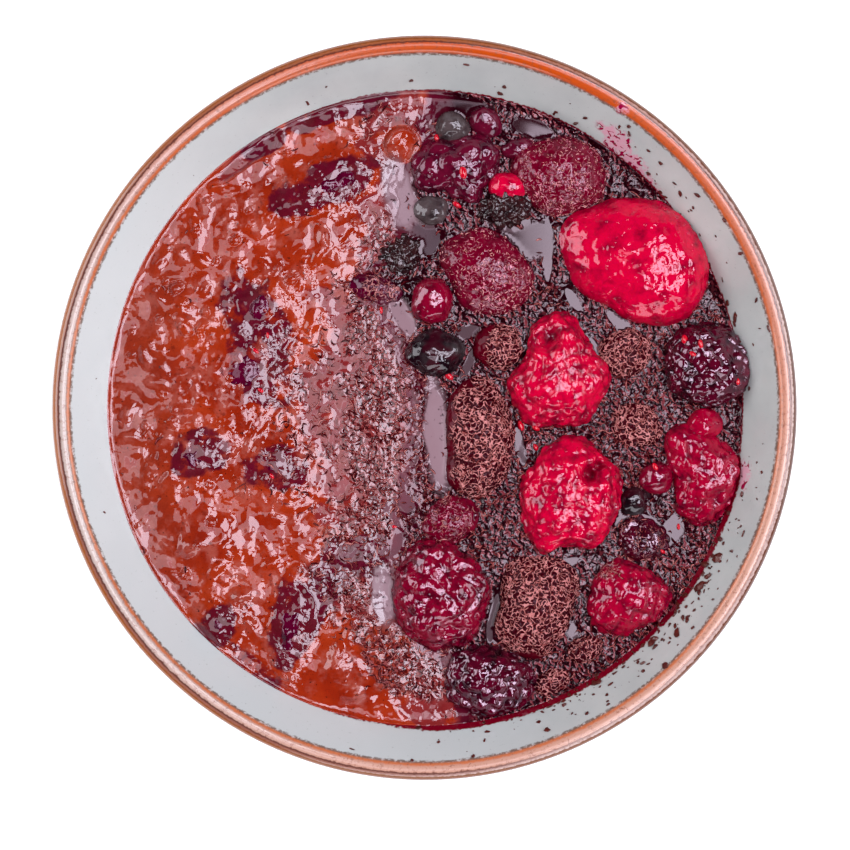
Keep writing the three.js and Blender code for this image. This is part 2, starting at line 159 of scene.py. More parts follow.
# Dark berry pieces that show in the pudding, sunk to near their tops
SUNK_PIECES = [
    ("pudding_berry_back", "sunk", (-21.3, 47.6), (19.6, 5.4, 5), 24, 1.5),
    ("pudding_berry_upper", "sunk", (-34.8, 21.6), (11, 6, 5), 45, 1.5),
    ("pudding_berry_middle", "sunk", (-38.6, 8.4), (17, 10.4, 6), 72, 1.8),
    ("pudding_berry_left", "sunk", (-48.6, -9.8), (10.8, 7.6, 5), 30, 1.5),
    ("pudding_berry_low", "sunk", (-32.2, -13.2), (9.4, 7.4, 5), -15, 1.5),
    ("pudding_berry_front", "sunk", (-28.6, -46.2), (14.2, 5, 5), 80, 1.5),
    ("pudding_berry_wall", "sunk", (-44.6, -46.6), (7, 5.6, 5), 40, 1.5),
]

TAPER_FROM = -0.35
TAPER_CURVE = 0.55


def berry_kind(lumps, wrinkles, crumpled=0.35, taper=0.0, drupelet=0.0, drupelet_height=0.0, crease=0.0):
    """A kind of berry: how lumpy, wrinkled and crumpled its skin is, how far it narrows towards its tip, how
    wide its drupelets are (0 for a plain skin) and how high, and how sharp the seams between them are."""
    return {
        "lumps": lumps, "wrinkles": wrinkles, "crumpled": crumpled, "taper": taper,
        "drupelet": drupelet, "drupelet_height": drupelet_height, "crease": crease,
    }


KINDS = {
    "strawberry": berry_kind(0.45, 0.05, 0.6, taper=0.3),
    "raspberry": berry_kind(0.85, 0.12, 0.8, taper=0.14, drupelet=2.9, drupelet_height=0.5, crease=0.12),
    "bramble": berry_kind(0.85, 0.2, 0.6, taper=0.06, drupelet=2.8, drupelet_height=0.6, crease=0.4),
    "lobed": berry_kind(0.9, 0.08, drupelet=4.4, drupelet_height=0.9, crease=0.25),
    "bilberry": berry_kind(0.9, 0.12),
    "currant": berry_kind(0.7, 0.08, 0.5),
    "clump": berry_kind(1.2, 0.4, 0.9, drupelet=2.3, drupelet_height=1.1, crease=0.5),
    "choc": berry_kind(0.8, 0.2, taper=0.08),
    "sunk": berry_kind(1.0, 0.25, 0.6),
}

# Single berries whose skin is smoother or more crumpled than their kind's
CRUMPLED_BY_NAME = {
    "bramble_front": 0.9, "bramble_wall": 0.8, "dark_piece": 0.6, "bramble_back": 0.45,
    "strawberry_large": 0.55, "berry_upper": 0.1,
}

# How much higher the top is towards +X and +Y on berries that lie at a slant
LEANS = {"strawberry_large": (0.3, -0.06)}

# Outlines from above of the berries that aren't plain ovals: the radius at every 30 degrees from +X
OUTLINES = {
    "strawberry_large": (17.4, 16.2, 15.2, 14.4, 15.6, 18.6, 15.9, 13.6, 11.3, 13.2, 16.0, 17.4),
    "raspberry_upper": (10.9, 9.3, 10.4, 12.8, 11.2, 8.6, 9.7, 12.0, 12.8, 11.9, 12.0, 11.2),
    "raspberry_middle": (11.7, 12.5, 12.5, 12.0, 10.9, 9.9, 11.0, 11.3, 12.8, 11.6, 13.0, 12.3),
    "raspberry_left": (11.2, 10.4, 9.8, 11.3, 11.4, 11.3, 10.7, 11.5, 12.3, 12.7, 12.6, 11.2),
    "raspberry_right": (9.7, 8.9, 8.1, 8.4, 9.3, 8.9, 8.4, 9.1, 9.5, 8.6, 7.8, 9.1),
    "bramble_wall": (10.2, 9.3, 8.8, 8.4, 8.6, 9.6, 9.2, 8.6, 9.4, 9.4, 10.0, 10.8),
    "bramble_front": (10.2, 8.4, 7.1, 7.2, 7.6, 9.6, 10.4, 10.0, 9.4, 9.2, 9.3, 10.4),
    "bramble_back": (9.5, 10.6, 9.6, 7.0, 8.5, 9.6, 9.4, 8.0, 5.2, 6.4, 8.6, 7.6),
    "strawberry_back": (9.5, 9.7, 9.3, 9.0, 9.3, 11.2, 11.3, 9.5, 9.0, 8.5, 8.5, 10.0),
    "strawberry_left": (10.5, 9.3, 9.2, 9.8, 10.6, 12.0, 9.6, 8.5, 9.2, 9.3, 10.4, 11.4),
    "strawberry_long": (8.0, 8.4, 10.4, 13.7, 11.9, 8.7, 7.7, 8.6, 13.2, 14.5, 11.0, 8.2),
    "strawberry_front": (8.1, 10.5, 11.3, 10.8, 11.5, 10.4, 9.1, 11.5, 12.9, 12.6, 9.5, 8.3),
    "raspberry_torn": (9.4, 10.0, 10.0, 11.0, 12.0, 8.0, 5.1, 5.7, 8.7, 11.0, 10.0, 9.8),
    "pudding_berry_middle": (5.5, 6.5, 6.0, 6.0, 5.0, 4.5, 6.3, 7.0, 8.0, 7.5, 7.0, 6.0),
}

# Dents and spurs that single berries show: place across the bowl, radius and depth, negative for a spur
DENTS = {
    "raspberry_middle": [
        (35.3, -13.9, 1.7, 5.0), (37.4, -12.0, 1.1, 3.2), (31.5, -22.5, 2.6, 0.7),
        (26.2, -30.0, 2.0, -1.6), (20.0, -13.5, 2.0, -0.8), (40.5, -21.0, 2.0, -0.9),
    ],
    "raspberry_upper": [
        (26.8, 15.6, 1.8, 2.6), (25.2, 13.8, 1.6, 1.4), (18.6, 6.0, 2.2, -1.3), (36.5, 0.5, 2.5, 0.8),
    ],
    "raspberry_left": [(5.5, -46.5, 2.2, 1.1), (-2.0, -34.5, 2.2, 0.8)],
    "raspberry_torn": [
        (57.2, -9.5, 1.5, 1.2), (60.4, -12.0, 1.3, 0.9), (57.0, -15.5, 1.3, 0.9), (61.2, -19.5, 1.6, 0.8),
        (54.0, -7.2, 2.3, -2.0), (52.6, -12.6, 1.8, -0.8),
    ],
    "bilberry_black": [(4.5, 14.5, 2.2, 0.7)],
}


def place(name, kind, at, size, turn, rise):
    return {"name": name, "kind": kind, "at": at, "size": size, "turn": turn, "rise": rise}


def linear(red, green, blue):
    """A screen colour from 0 to 255 as the linear colour that shaders take."""
    shares = [channel / 255 for channel in (red, green, blue)]
    curved = [c / 12.92 if c <= 0.04045 else ((c + 0.055) / 1.055) ** 2.4 for c in shares]
    return (*curved, 1)


def smooth_step(low, high, value):
    share = np.clip((value - low) / (high - low), 0, 1)
    return share * share * (3 - 2 * share)


# Noise over points, for shapes

def hashed(x, y, z, seed):
    """A number from 0 to 1 for each cell of a lattice."""
    mask = 0xFFFFFFFF
    mixed = (x * 374761393 + y * 668265263 + z * 1442695041 + seed * 1274126177) & mask
    mixed = ((mixed ^ (mixed >> 13)) * 1274126177) & mask
    mixed = ((mixed ^ (mixed >> 16)) * 2246822519) & mask
    return ((mixed ^ (mixed >> 15)) & 0xFFFFFF) / 0xFFFFFF


def noise(points, width, seed):
    """Smooth noise from about -1 to 1 whose bumps are about as wide as width."""
    scaled = points / width + 37.13
    cell = np.floor(scaled).astype(np.int64)
    inside = scaled - cell
    ease = inside ** 3 * (inside * (inside * 6 - 15) + 10)
    total = np.zeros(len(points))
    for dx in (0, 1):
        for dy in (0, 1):
            for dz in (0, 1):
                corner = (cell[:, 0] + dx, cell[:, 1] + dy, cell[:, 2] + dz)
                weight = np.abs(1 - dx - ease[:, 0]) * np.abs(1 - dy - ease[:, 1])
                weight = weight * np.abs(1 - dz - ease[:, 2])
                slope = sum(
                    (hashed(*corner, seed + 7 * axis) * 2 - 1) * (inside[:, axis] - shift)
                    for axis, shift in enumerate((dx, dy, dz))
                )
                total += weight * slope
    return total * 1.6


def layered(points, width, seed, layers=3):
    """Noise with finer and fainter noise on top of it."""
    total = np.zeros(len(points))
    for layer in range(layers):
        total += noise(points, width / 2 ** layer, seed + 31 * layer) / 2 ** layer
    return total


def flat_points(x, y):
    return np.column_stack([x, y, np.zeros(len(x))])


def unit_rows(vectors):
    return vectors / np.linalg.norm(vectors, axis=1)[:, None]


# Meshes

def into_scene(name, data):
    """A new object, named and put into the scene."""
    made = bpy.data.objects.new(name, data)
    bpy.context.scene.collection.objects.link(made)
    return made


def mesh_piece(name, points, faces, material, node=None, smooth=True):
    """A mesh in metres from points in millimetres. All faces have the same number of corners."""
    mesh = bpy.data.meshes.new(name)
    faces = np.asarray(faces, dtype=np.int32)
    corners = faces.shape[1]
    mesh.vertices.add(len(points))
    mesh.vertices.foreach_set("co", (np.asarray(points) * MM).astype(np.float32).ravel())
    mesh.loops.add(faces.size)
    mesh.loops.foreach_set("vertex_index", faces.ravel())
    mesh.polygons.add(len(faces))
    mesh.polygons.foreach_set("loop_start", np.arange(0, faces.size, corners, dtype=np.int32))
    mesh.polygons.foreach_set("loop_total", np.full(len(faces), corners, dtype=np.int32))
    mesh.polygons.foreach_set("use_smooth", np.full(len(faces), smooth))
    mesh.update(calc_edges=True)
    mesh.validate()
    mesh.materials.append(material)
    piece = into_scene(name, mesh)
    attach(piece, "root")
    if node:
        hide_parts(node)
    return piece


def mark(piece, name, values):
    """Stores one number for each point, for the material to read."""
    attribute = piece.data.attributes.new(name, "FLOAT", "POINT")
    attribute.data.foreach_set("value", np.asarray(values, dtype=np.float32))


def grid_faces(rows, columns, start=0, closed=False):
    """Four-cornered faces between rows of points."""
    last = columns if closed else columns - 1
    row, column = np.meshgrid(np.arange(rows - 1), np.arange(last), indexing="ij")
    here = start + row * columns + column
    beside = start + row * columns + (column + 1) % columns
    return np.stack([here, beside, beside + columns, here + columns], axis=-1).reshape(-1, 4)


def repeated(faces, count, corners):
    """The faces of many copies of one mesh, each with so many points, laid end to end."""
    return (np.arange(count)[:, None, None] * corners + np.asarray(faces)[None]).reshape(-1, 3)


# Materials

class Graph:
    """The nodes of one material, with short calls for those that are used often."""

    def __init__(self, name):
        self.material = bpy.data.materials.new(name)
        self.material.use_nodes = True
        self.tree = self.material.node_tree
        self.tree.nodes.clear()
        self.output = self.tree.nodes.new("ShaderNodeOutputMaterial")
        self.shader = self.tree.nodes.new("ShaderNodeBsdfPrincipled")
        self.tree.links.new(self.shader.outputs["BSDF"], self.output.inputs["Surface"])
        self.where = self.tree.nodes.new("ShaderNodeTexCoord").outputs["Object"]

    def put(self, socket, value):
        if isinstance(value, bpy.types.NodeSocket):
            self.tree.links.new(value, socket)
        else:
            socket.default_value = value

    def surface(self, **values):
        for name, value in values.items():
            self.put(self.shader.inputs[name.replace("_", " ")], value)

    def attribute(self, name):
        node = self.tree.nodes.new("ShaderNodeAttribute")
        node.attribute_name = name
        return node.outputs["Fac"]

    def maths(self, operation, first, second=0.0):
        node = self.tree.nodes.new("ShaderNodeMath")
        node.operation = operation
        self.put(node.inputs[0], first)
        self.put(node.inputs[1], second)
        return node.outputs[0]

    def inverse(self, share):
        return self.maths("SUBTRACT", 1.0, share)

    def times(self, first, second):
        return self.maths("MULTIPLY", first, second)

    def plus(self, first, second):
        return self.maths("ADD", first, second)

    def wobbled(self, value, noise, by):
        """A value moved up and down by noise from 0 to 1."""
        return self.plus(value, self.times(self.plus(noise, -0.5), by))

    def line(self, value, middle, near, far, strength):
        """A line where a value passes its middle, strong up to near and gone past far."""
        away = self.maths("ABSOLUTE", self.plus(value, -middle))
        return self.span(away, near, far, strength, 0.0)

    def span(self, value, low, high, to_low=0.0, to_high=1.0):
        """A value between low and high, eased to between to_low and to_high."""
        node = self.tree.nodes.new("ShaderNodeMapRange")
        node.interpolation_type = "SMOOTHSTEP"
        for name, setting in (
            ("Value", value), ("From Min", low), ("From Max", high), ("To Min", to_low), ("To Max", to_high),
        ):
            self.put(node.inputs[name], setting)
        return node.outputs["Result"]

    def mix(self, share, first, second):
        node = self.tree.nodes.new("ShaderNodeMix")
        node.data_type = "RGBA"
        self.put(node.inputs["Factor"], share)
        self.put(node.inputs[6], first)
        self.put(node.inputs[7], second)
        return node.outputs[2]

    def between(self, share, low, high):
        """Blends between two screen colours."""
        return self.mix(share, linear(*low), linear(*high))

    def mix_value(self, share, first, second):
        """Blends between two plain numbers."""
        return self.plus(first, self.times(share, second - first))

    def noise(self, width, detail=2.0, roughness=0.5, distortion=0.0, where=None):
        """Noise from 0 to 1 with bumps about as wide as width in millimetres."""
        node = self.tree.nodes.new("ShaderNodeTexNoise")
        self.put(node.inputs["Vector"], where or self.where)
        self.put(node.inputs["Scale"], 1 / (width * MM))
        self.put(node.inputs["Detail"], detail)
        self.put(node.inputs["Roughness"], roughness)
        self.put(node.inputs["Distortion"], distortion)
        return node.outputs["Fac"]

    def moved(self, right, back):
        """The place of each point moved by so many millimetres."""
        node = self.tree.nodes.new("ShaderNodeVectorMath")
        self.put(node.inputs[0], self.where)
        self.put(node.inputs[1], (right * MM, back * MM, 0))
        return node.outputs["Vector"]

    def scraps(self, width):
        """A field of small lumps, then masks of their flanks that face away from the window and towards it,
        for painted shade and painted light.
        """
        settings = {"detail": 0.5, "roughness": 0.4, "distortion": 0.6}
        lumps = self.noise(width, **settings)
        beside = self.noise(width, where=self.moved(0.12 * width, 0.06 * width), **settings)
        rising = self.maths("SUBTRACT", beside, lumps)
        return lumps, self.span(rising, 0.004, 0.03), self.span(rising, -0.012, -0.045)

    def cells(self, width):
        """Distance from the middle of cells about as wide as width in millimetres."""
        node = self.tree.nodes.new("ShaderNodeTexVoronoi")
        self.put(node.inputs["Vector"], self.where)
        self.put(node.inputs["Scale"], 1 / (width * MM))
        return node.outputs["Distance"]

    def strokes(self, width, share, distortion=0.6):
        """Winding strokes with crisp edges, 1 on a stroke and 0 off it. A larger share makes them broad."""
        value = self.noise(width, 1.0, 0.4, distortion)
        away = self.maths("ABSOLUTE", self.maths("SUBTRACT", value, 0.5))
        return self.span(away, share * 0.8, share * 1.3, 1.0, 0.0)

    def coordinates(self):
        node = self.tree.nodes.new("ShaderNodeSeparateXYZ")
        self.put(node.inputs[0], self.where)
        return node.outputs

    def ramp(self, value, stops):
        node = self.tree.nodes.new("ShaderNodeValToRGB")
        elements = node.color_ramp.elements
        while len(elements) < len(stops):
            elements.new(0.5)
        for element, (position, colour) in zip(elements, sorted(stops)):
            element.position = position
            element.color = linear(*colour)
        self.put(node.inputs["Fac"], value)
        return node.outputs["Color"]

    def bump(self, height, depth, strength=1.0, under=None):
        """Relief of a depth in millimetres."""
        node = self.tree.nodes.new("ShaderNodeBump")
        self.put(node.inputs["Height"], height)
        is_varied = isinstance(depth, bpy.types.NodeSocket)
        self.put(node.inputs["Distance"], self.times(depth, MM) if is_varied else depth * MM)
        self.put(node.inputs["Strength"], strength)
        if under is not None:
            self.put(node.inputs["Normal"], under)
        return node.outputs["Normal"]


# The bowl's inside wall as one curve from the flat floor to the lip

SLOPE_LENGTH = math.hypot(WALL_FLARE, 1)
LIP_CENTRE = np.array([RIM_RADIUS - LIP_RADIUS, BOWL_HEIGHT - LIP_RADIUS])
LIP_OUTWARD = np.array([1, -WALL_FLARE]) / SLOPE_LENGTH
LIP_INSIDE = LIP_CENTRE - LIP_OUTWARD * LIP_RADIUS
CURVE_POINTS = np.array([
    (FLAT_FLOOR_RADIUS, INSIDE_FLOOR),
    (FLOOR_REACH, INSIDE_FLOOR),
    LIP_INSIDE - np.array([WALL_FLARE, 1]) * WALL_STRAIGHT,
    LIP_INSIDE,
])


def wall_points(shares, offset):
    """Points of the inside curve, moved away from the room inside by the offset."""
    t = np.asarray(shares)[:, None]
    a, b, c, d = CURVE_POINTS
    point = (1 - t) ** 3 * a + 3 * (1 - t) ** 2 * t * b + 3 * (1 - t) * t ** 2 * c + t ** 3 * d
    tangent = 3 * (1 - t) ** 2 * (b - a) + 6 * (1 - t) * t * (c - b) + 3 * t ** 2 * (d - c)
    tangent /= np.linalg.norm(tangent, axis=1)[:, None]
    return point + offset * np.column_stack([tangent[:, 1], -tangent[:, 0]])


INSIDE_WALL = wall_points(np.linspace(0, 1, 1500), 0)


def inside_radius(height):
    return np.interp(height, INSIDE_WALL[:, 1], INSIDE_WALL[:, 0])


def bowl_profile():
    """Radius and height from the underside's middle, round the lip, to the middle of the inside floor."""
    foot_inside = FOOT_RADIUS - FOOT_WIDTH
    underside = np.linspace(AXIS_HOLE, foot_inside - FOOT_BEVEL, UNDERSIDE_STEPS)
    inside_floor = np.linspace(FLAT_FLOOR_RADIUS - 2, AXIS_HOLE, FLOOR_STEPS)
    start = math.atan2(LIP_OUTWARD[1], LIP_OUTWARD[0])
    turns = start + math.pi * np.arange(1, LIP_STEPS) / LIP_STEPS
    return np.vstack([
        np.column_stack([underside, np.full(UNDERSIDE_STEPS, FOOT_RECESS)]),
        [
            (foot_inside - FOOT_ROUNDING, FOOT_RECESS * 0.6),
            (foot_inside, FOOT_EDGE),
            (foot_inside + FOOT_ROUNDING, 0),
            (FOOT_RADIUS - FOOT_TREAD, 0),
            (FOOT_RADIUS - FOOT_BEVEL, 0),
            (FOOT_RADIUS - FOOT_EDGE, FOOT_EDGE),
            (FOOT_RADIUS, FOOT_BEVEL),
        ],
        wall_points(np.linspace(WALL_START, 1, OUTER_WALL_STEPS), WALL),
        LIP_CENTRE + LIP_RADIUS * np.column_stack([np.cos(turns), np.sin(turns)]),
        wall_points(np.linspace(1, 0, WALL_STEPS), 0),
        np.column_stack([inside_floor, np.full(FLOOR_STEPS, INSIDE_FLOOR)]),
    ])


def turned_points(profile, sides):
    angle = 2 * math.pi * np.arange(sides) / sides
    radius = profile[:, 0][:, None]
    x = radius * np.cos(angle)
    y = radius * np.sin(angle)
    z = np.repeat(profile[:, 1][:, None], sides, axis=1)
    return np.stack([x, y, z], axis=-1).reshape(-1, 3)


# Splashes on the bowl's wall: angle and its spread in degrees, radius and its spread in millimetres
SMEARS = [
    (57.0, 1.6, 70.6, 1.0), (54.0, 2.6, 69.8, 2.0), (50.0, 3.2, 68.6, 1.7), (46.0, 3.4, 67.6, 1.3),
    (41.5, 3.4, 66.9, 1.1), (36, 4, 66.4, 0.7), (56.5, 0.8, 75.0, 1.2), (348, 2.6, 69.4, 1.1),
]

# Past this radius there is no tide line
TIDE_REACH = 73


def bowl_marks(points):
    """How much of the syrup's splashes and tide line each point of the bowl carries."""
    angle = np.degrees(np.arctan2(points[:, 1], points[:, 0])) % 360
    radius = np.hypot(points[:, 0], points[:, 1])
    smear = np.zeros(len(points))
    for at, spread, middle, width in SMEARS:
        turn = (angle - at + 180) % 360 - 180
        smear = np.maximum(smear, np.exp(-((turn / spread) ** 2) - ((radius - middle) / width) ** 2))
    berry_side = smooth_step(-40, 5, points[:, 0] + 8 * noise(points, 14, 5))
    top = SYRUP_LEVEL + EDGE_RISE + 0.35 + 0.3 * noise(points, 6, 6)
    top += berry_side * (0.35 + 0.4 * smooth_step(10, -40, points[:, 1]))
    tide = smooth_step(top + 0.5, top, points[:, 2]) * (0.35 + 0.65 * berry_side)
    return smear, np.where(radius < TIDE_REACH, tide, 0)


# The glaze's colours on the rim, band by band: rust orange at the back, paler or darker at a side. The paler
# colours elsewhere are partly painted highlight, and the outer band's pale patch at the right is a painted
# reflection of the side window
RIM_COLOURS = {
    "next to the wall": (174, 98, 65),
    "on top": (172, 128, 112),
    "on top, grey": (158, 140, 134),
    "rust": (167, 62, 6),
    "outer": (131, 82, 68),
    "outer, rust": (138, 76, 42),
    "outer, pale": (176, 151, 146),
    "outermost": (140, 72, 16),
    "outermost, dark": (76, 36, 20),
}

# Sides of the rim: the middle, as a share of a turn from -X, then how far off a colour is full and gone
RUST_SIDE = (0.71, 0.0, 0.29)
WARM_SIDE = (0.5, 0.26, 0.44)
WINDOW_REFLECTION_SIDE = (0.465, 0.12, 0.28)
DARK_SIDE = (0.5, 0.0, 0.5)
WALL_COLOURS = [(0.3, (160, 164, 164)), (0.5, (167, 170, 170)), (0.72, (174, 177, 176))]
OUTSIDE_COLOURS = [(0.3, (112, 100, 90)), (0.55, (128, 118, 108)), (0.75, (140, 128, 116))]

# Radii between which the glaze changes: from the wall to the rim, and from each band of the rim to the next
RIM_STARTS = (73.75 * MM, 74.35 * MM)
RIM_TOP_STARTS = (74.5 * MM, 74.95 * MM)
RIM_OUTER_STARTS = (76.2 * MM, 76.5 * MM)
RIM_OUTERMOST_STARTS = (76.9 * MM, 77.15 * MM)

# Thin dark lines in the rim: radius, then half their width where they are strong and where they end
LINE_AT_WALL = (74.05 * MM, 0.06 * MM, 0.36 * MM)
LINE_IN_RIM = (76.35 * MM, 0.08 * MM, 0.3 * MM)

# Heights between which the outside turns rust brown at the rim and bare at the foot
RUST_STARTS = (46 * MM, 53 * MM)
BARE_STARTS = (5.2 * MM, 4.2 * MM)

# Radii between which drops of syrup lie denser, and places between which the inside wall is painted paler, as
# painted light on the side that faces the window
DROPS_START = (69 * MM, 66.5 * MM)
LIT_SIDE_STARTS = (20 * MM, -60 * MM)


def rim_colour(g, turn, radius):
    """The rim's bands, which change colour round the bowl, partly as painted highlight and painted
    reflection.
    """
    tone = {name: linear(*colour) for name, colour in RIM_COLOURS.items()}
    sides = (RUST_SIDE, WARM_SIDE, WINDOW_REFLECTION_SIDE, DARK_SIDE)
    rust, warm, pale, dark = (g.line(turn, *side, 1.0) for side in sides)
    streak = g.noise(0.8, 3.0, 0.7, 0.4)
    # Partly painted highlight: on top the band is paler than the rust, salmon round most of the turn and
    # greyer at the left
    on_top = g.mix(warm, tone["on top, grey"], tone["on top"])
    inner = g.mix(g.span(radius, *RIM_TOP_STARTS), tone["next to the wall"], on_top)
    inner = g.mix(rust, inner, tone["rust"])
    inner = g.mix(g.span(streak, 0.5, 0.75, 0.0, 0.8), inner, linear(112, 60, 42))
    # Painted reflection: the outer band turns pale at the right, where it faces the side window
    outer = g.mix(pale, g.mix(rust, tone["outer"], tone["outer, rust"]), tone["outer, pale"])
    outer = g.mix(g.span(streak, 0.45, 0.7, 0.0, 0.6), outer, linear(110, 70, 62))
    outermost = g.mix(dark, tone["outermost"], tone["outermost, dark"])
    outer = g.mix(g.span(radius, *RIM_OUTERMOST_STARTS), outer, outermost)
    fades = g.span(g.maths("ABSOLUTE", g.plus(turn, -0.38)), 0.05, 0.14, 0.35, 1.0)
    line = g.times(g.line(radius, *LINE_IN_RIM, 0.85), fades)
    rim = g.mix(g.span(radius, *RIM_OUTER_STARTS), inner, outer)
    return g.mix(line, rim, linear(74, 34, 30))


def splashed(g, top, radius):
    """The glaze with the syrup's splashes and tide line on it."""
    smear = g.attribute("smear")
    ragged = g.span(g.noise(1.3, 4.0, 0.7, 0.8), 0.62, 0.36)
    wash = g.span(g.plus(g.times(smear, 1.1), g.times(ragged, 0.5)), 0.5, 1.1, 0.0, 0.9)
    top = g.mix(wash, top, linear(190, 134, 152))
    near_food = g.span(radius, *DROPS_START, 0.0, 0.1)
    dropped = g.span(g.plus(g.noise(1.4, 1.5, 0.5, 0.8), near_food), 0.545, 0.575)
    drops = g.times(g.span(smear, 0.2, 0.5), dropped)
    top = g.mix(drops, top, g.between(g.noise(1.2, 1.0), (96, 0, 34), (150, 4, 60)))
    tide = g.span(g.wobbled(g.attribute("tide"), g.noise(0.8, 3.0), 0.8), 0.35, 0.62)
    return g.mix(tide, top, linear(104, 0, 22))


def glaze_material():
    g = Graph("glazed_stoneware")
    x, y, z = g.coordinates()
    radius = g.maths("SQRT", g.plus(g.times(x, x), g.times(y, y)))
    jitter = g.noise(0.8, 3.0, 0.6)
    wavy_radius = g.wobbled(radius, jitter, 0.7 * MM)
    turn = g.plus(g.times(g.maths("ARCTAN2", y, x), 0.5 / math.pi), 0.5)
    height = g.wobbled(z, jitter, 2.4 * MM)

    inside = g.ramp(g.noise(16, 4.0, 0.6), WALL_COLOURS)
    # Painted light: the inside wall is painted paler on the side that faces the window
    lit_side = g.span(g.plus(x, g.times(y, 0.5)), *LIT_SIDE_STARTS)
    inside = g.mix(lit_side, inside, linear(182, 188, 189))
    speck = g.span(g.noise(0.7, 2.0, 0.7), 0.67, 0.74)
    inside = g.mix(g.times(speck, 0.35), inside, linear(104, 104, 100))

    top = g.mix(g.span(wavy_radius, *RIM_STARTS), inside, rim_colour(g, turn, wavy_radius))
    dark_edge = g.times(g.line(wavy_radius, *LINE_AT_WALL, 0.75), g.span(jitter, 0.35, 0.55))
    top = g.mix(dark_edge, top, linear(78, 66, 56))

    outside = g.ramp(g.noise(9, 4.0, 0.65), OUTSIDE_COLOURS)
    outside = g.mix(g.span(height, *RUST_STARTS), outside, linear(108, 56, 28))
    outside = g.mix(g.span(height, *BARE_STARTS), outside, linear(132, 92, 66))

    g.surface(
        Base_Color=g.mix(g.attribute("inner_side"), outside, splashed(g, top, radius)),
        Roughness=0.16,
        Normal=g.bump(g.plus(g.noise(5, 3.0), g.times(speck, 0.15)), 0.12, 0.35),
    )
    return g.material


def make_bowl():
    profile = bowl_profile()
    points = turned_points(profile, BOWL_SIDES)
    flat = points * [1, 1, 0]
    swell = 1 + OUT_OF_ROUND * noise(flat, 60, 3)
    lift = RIM_WAVE * noise(flat, 70, 4) * smooth_step(20, 50, points[:, 2])
    points[:, :2] *= swell[:, None]
    points[:, 2] += lift
    faces = grid_faces(len(profile), BOWL_SIDES, closed=True)
    piece = mesh_piece("stoneware_bowl", points, faces, glaze_material(), "bowl")
    close_ends(piece)
    smear, tide = bowl_marks(points)
    mark(piece, "smear", smear)
    mark(piece, "tide", tide)
    lip_top = len(profile) - WALL_STEPS - FLOOR_STEPS - LIP_STEPS * LIP_INSIDE_SHARE
    along = np.repeat(np.arange(len(profile)), BOWL_SIDES)
    mark(piece, "inner_side", smooth_step(lip_top - 1, lip_top + 1, along))


def close_ends(piece):
    """Fills the two small round holes at the axis of a turned piece."""
    shape = bmesh.new()
    shape.from_mesh(piece.data)
    open_edges = [edge for edge in shape.edges if edge.is_boundary]
    bmesh.ops.holes_fill(shape, edges=open_edges, sides=0)
    bmesh.ops.recalc_face_normals(shape, faces=shape.faces)
    shape.to_mesh(piece.data)
    shape.free()


# The food's surface

def pool_edge_x(y):
    """Where the pool starts at each y, by a smooth curve through the edge's points."""
    corners = np.array(POOL_EDGE[::-1], float)
    slopes = np.gradient(corners[:, 0], corners[:, 1])
    index = np.clip(np.searchsorted(corners[:, 1], y) - 1, 0, len(corners) - 2)
    low = corners[index]
    high = corners[index + 1]
    step = high[:, 1] - low[:, 1]
    t = (y - low[:, 1]) / step
    start = (2 * t ** 3 - 3 * t ** 2 + 1) * low[:, 0] + (t ** 3 - 2 * t ** 2 + t) * step * slopes[index]
    end = (3 * t ** 2 - 2 * t ** 3) * high[:, 0] + (t ** 3 - t ** 2) * step * slopes[index + 1]
    return start + end


def across(x, y, at, size, turn):
    """Distance from a turned oval's middle, where 1 is its outline."""
    angle = math.radians(turn)
    dx = x - at[0]
    dy = y - at[1]
    along = dx * math.cos(angle) + dy * math.sin(angle)
    beside = -dx * math.sin(angle) + dy * math.cos(angle)
    return np.hypot(along / (size[0] / 2), beside / (size[1] / 2))


# Where the thin syrup film lies over the pudding: centre, size across, turn in degrees and strength
FILMS = [
    ((-9, -3), (34, 62), 4, 1.0), ((-4, 38), (22, 30), 0, 1.0), ((-10, -36), (26, 26), 20, 0.8),
    ((-5, 60), (16, 22), 0, 0.9), ((-39, 52.5), (15, 4), 35, 1.0), ((2, -58), (16, 22), 0, 0.9),
    ((-21, 5), (16, 22), 10, 0.45),
]

# Burgundy stains in the pudding, in the same way
STAINS = [
    ((-34, 57), (12, 6), 30, 1.0), ((-19, 63.5), (32, 6), 16, 0.9), ((-21, 47.5), (26, 10), 24, 0.9),
    ((-36, 15), (17, 34), 15, 0.8), ((-48, -9.5), (16, 12), 30, 0.8), ((-32, -13), (15, 12), 0, 0.8),
    ((-28, -45), (12, 22), -10, 0.9), ((-45, -47), (14, 9), 40, 0.9), ((-38, -55), (24, 6), -36, 0.7),
    ((-8, 30), (16, 20), 0, 0.6), ((-6, -25), (14, 18), 0, 0.5), ((-12, -22), (16, 14), 0, 0.5),
    ((-24, -27), (20, 12), 10, 0.35), ((-13, -31), (17, 9), 10, 1.0), ((-21, -38), (10, 14), -30, 0.9),
    ((-5.9, -21.8), (6.4, 5), 0, 1.0), ((-19.8, -33.5), (6, 15), -10, 1.0), ((-11.9, -32.7), (10, 9), 0, 1.0),
    ((-25.7, -43.1), (10, 8), 0, 1.0), ((-28.5, -51.3), (5, 7), 0, 0.9),
]

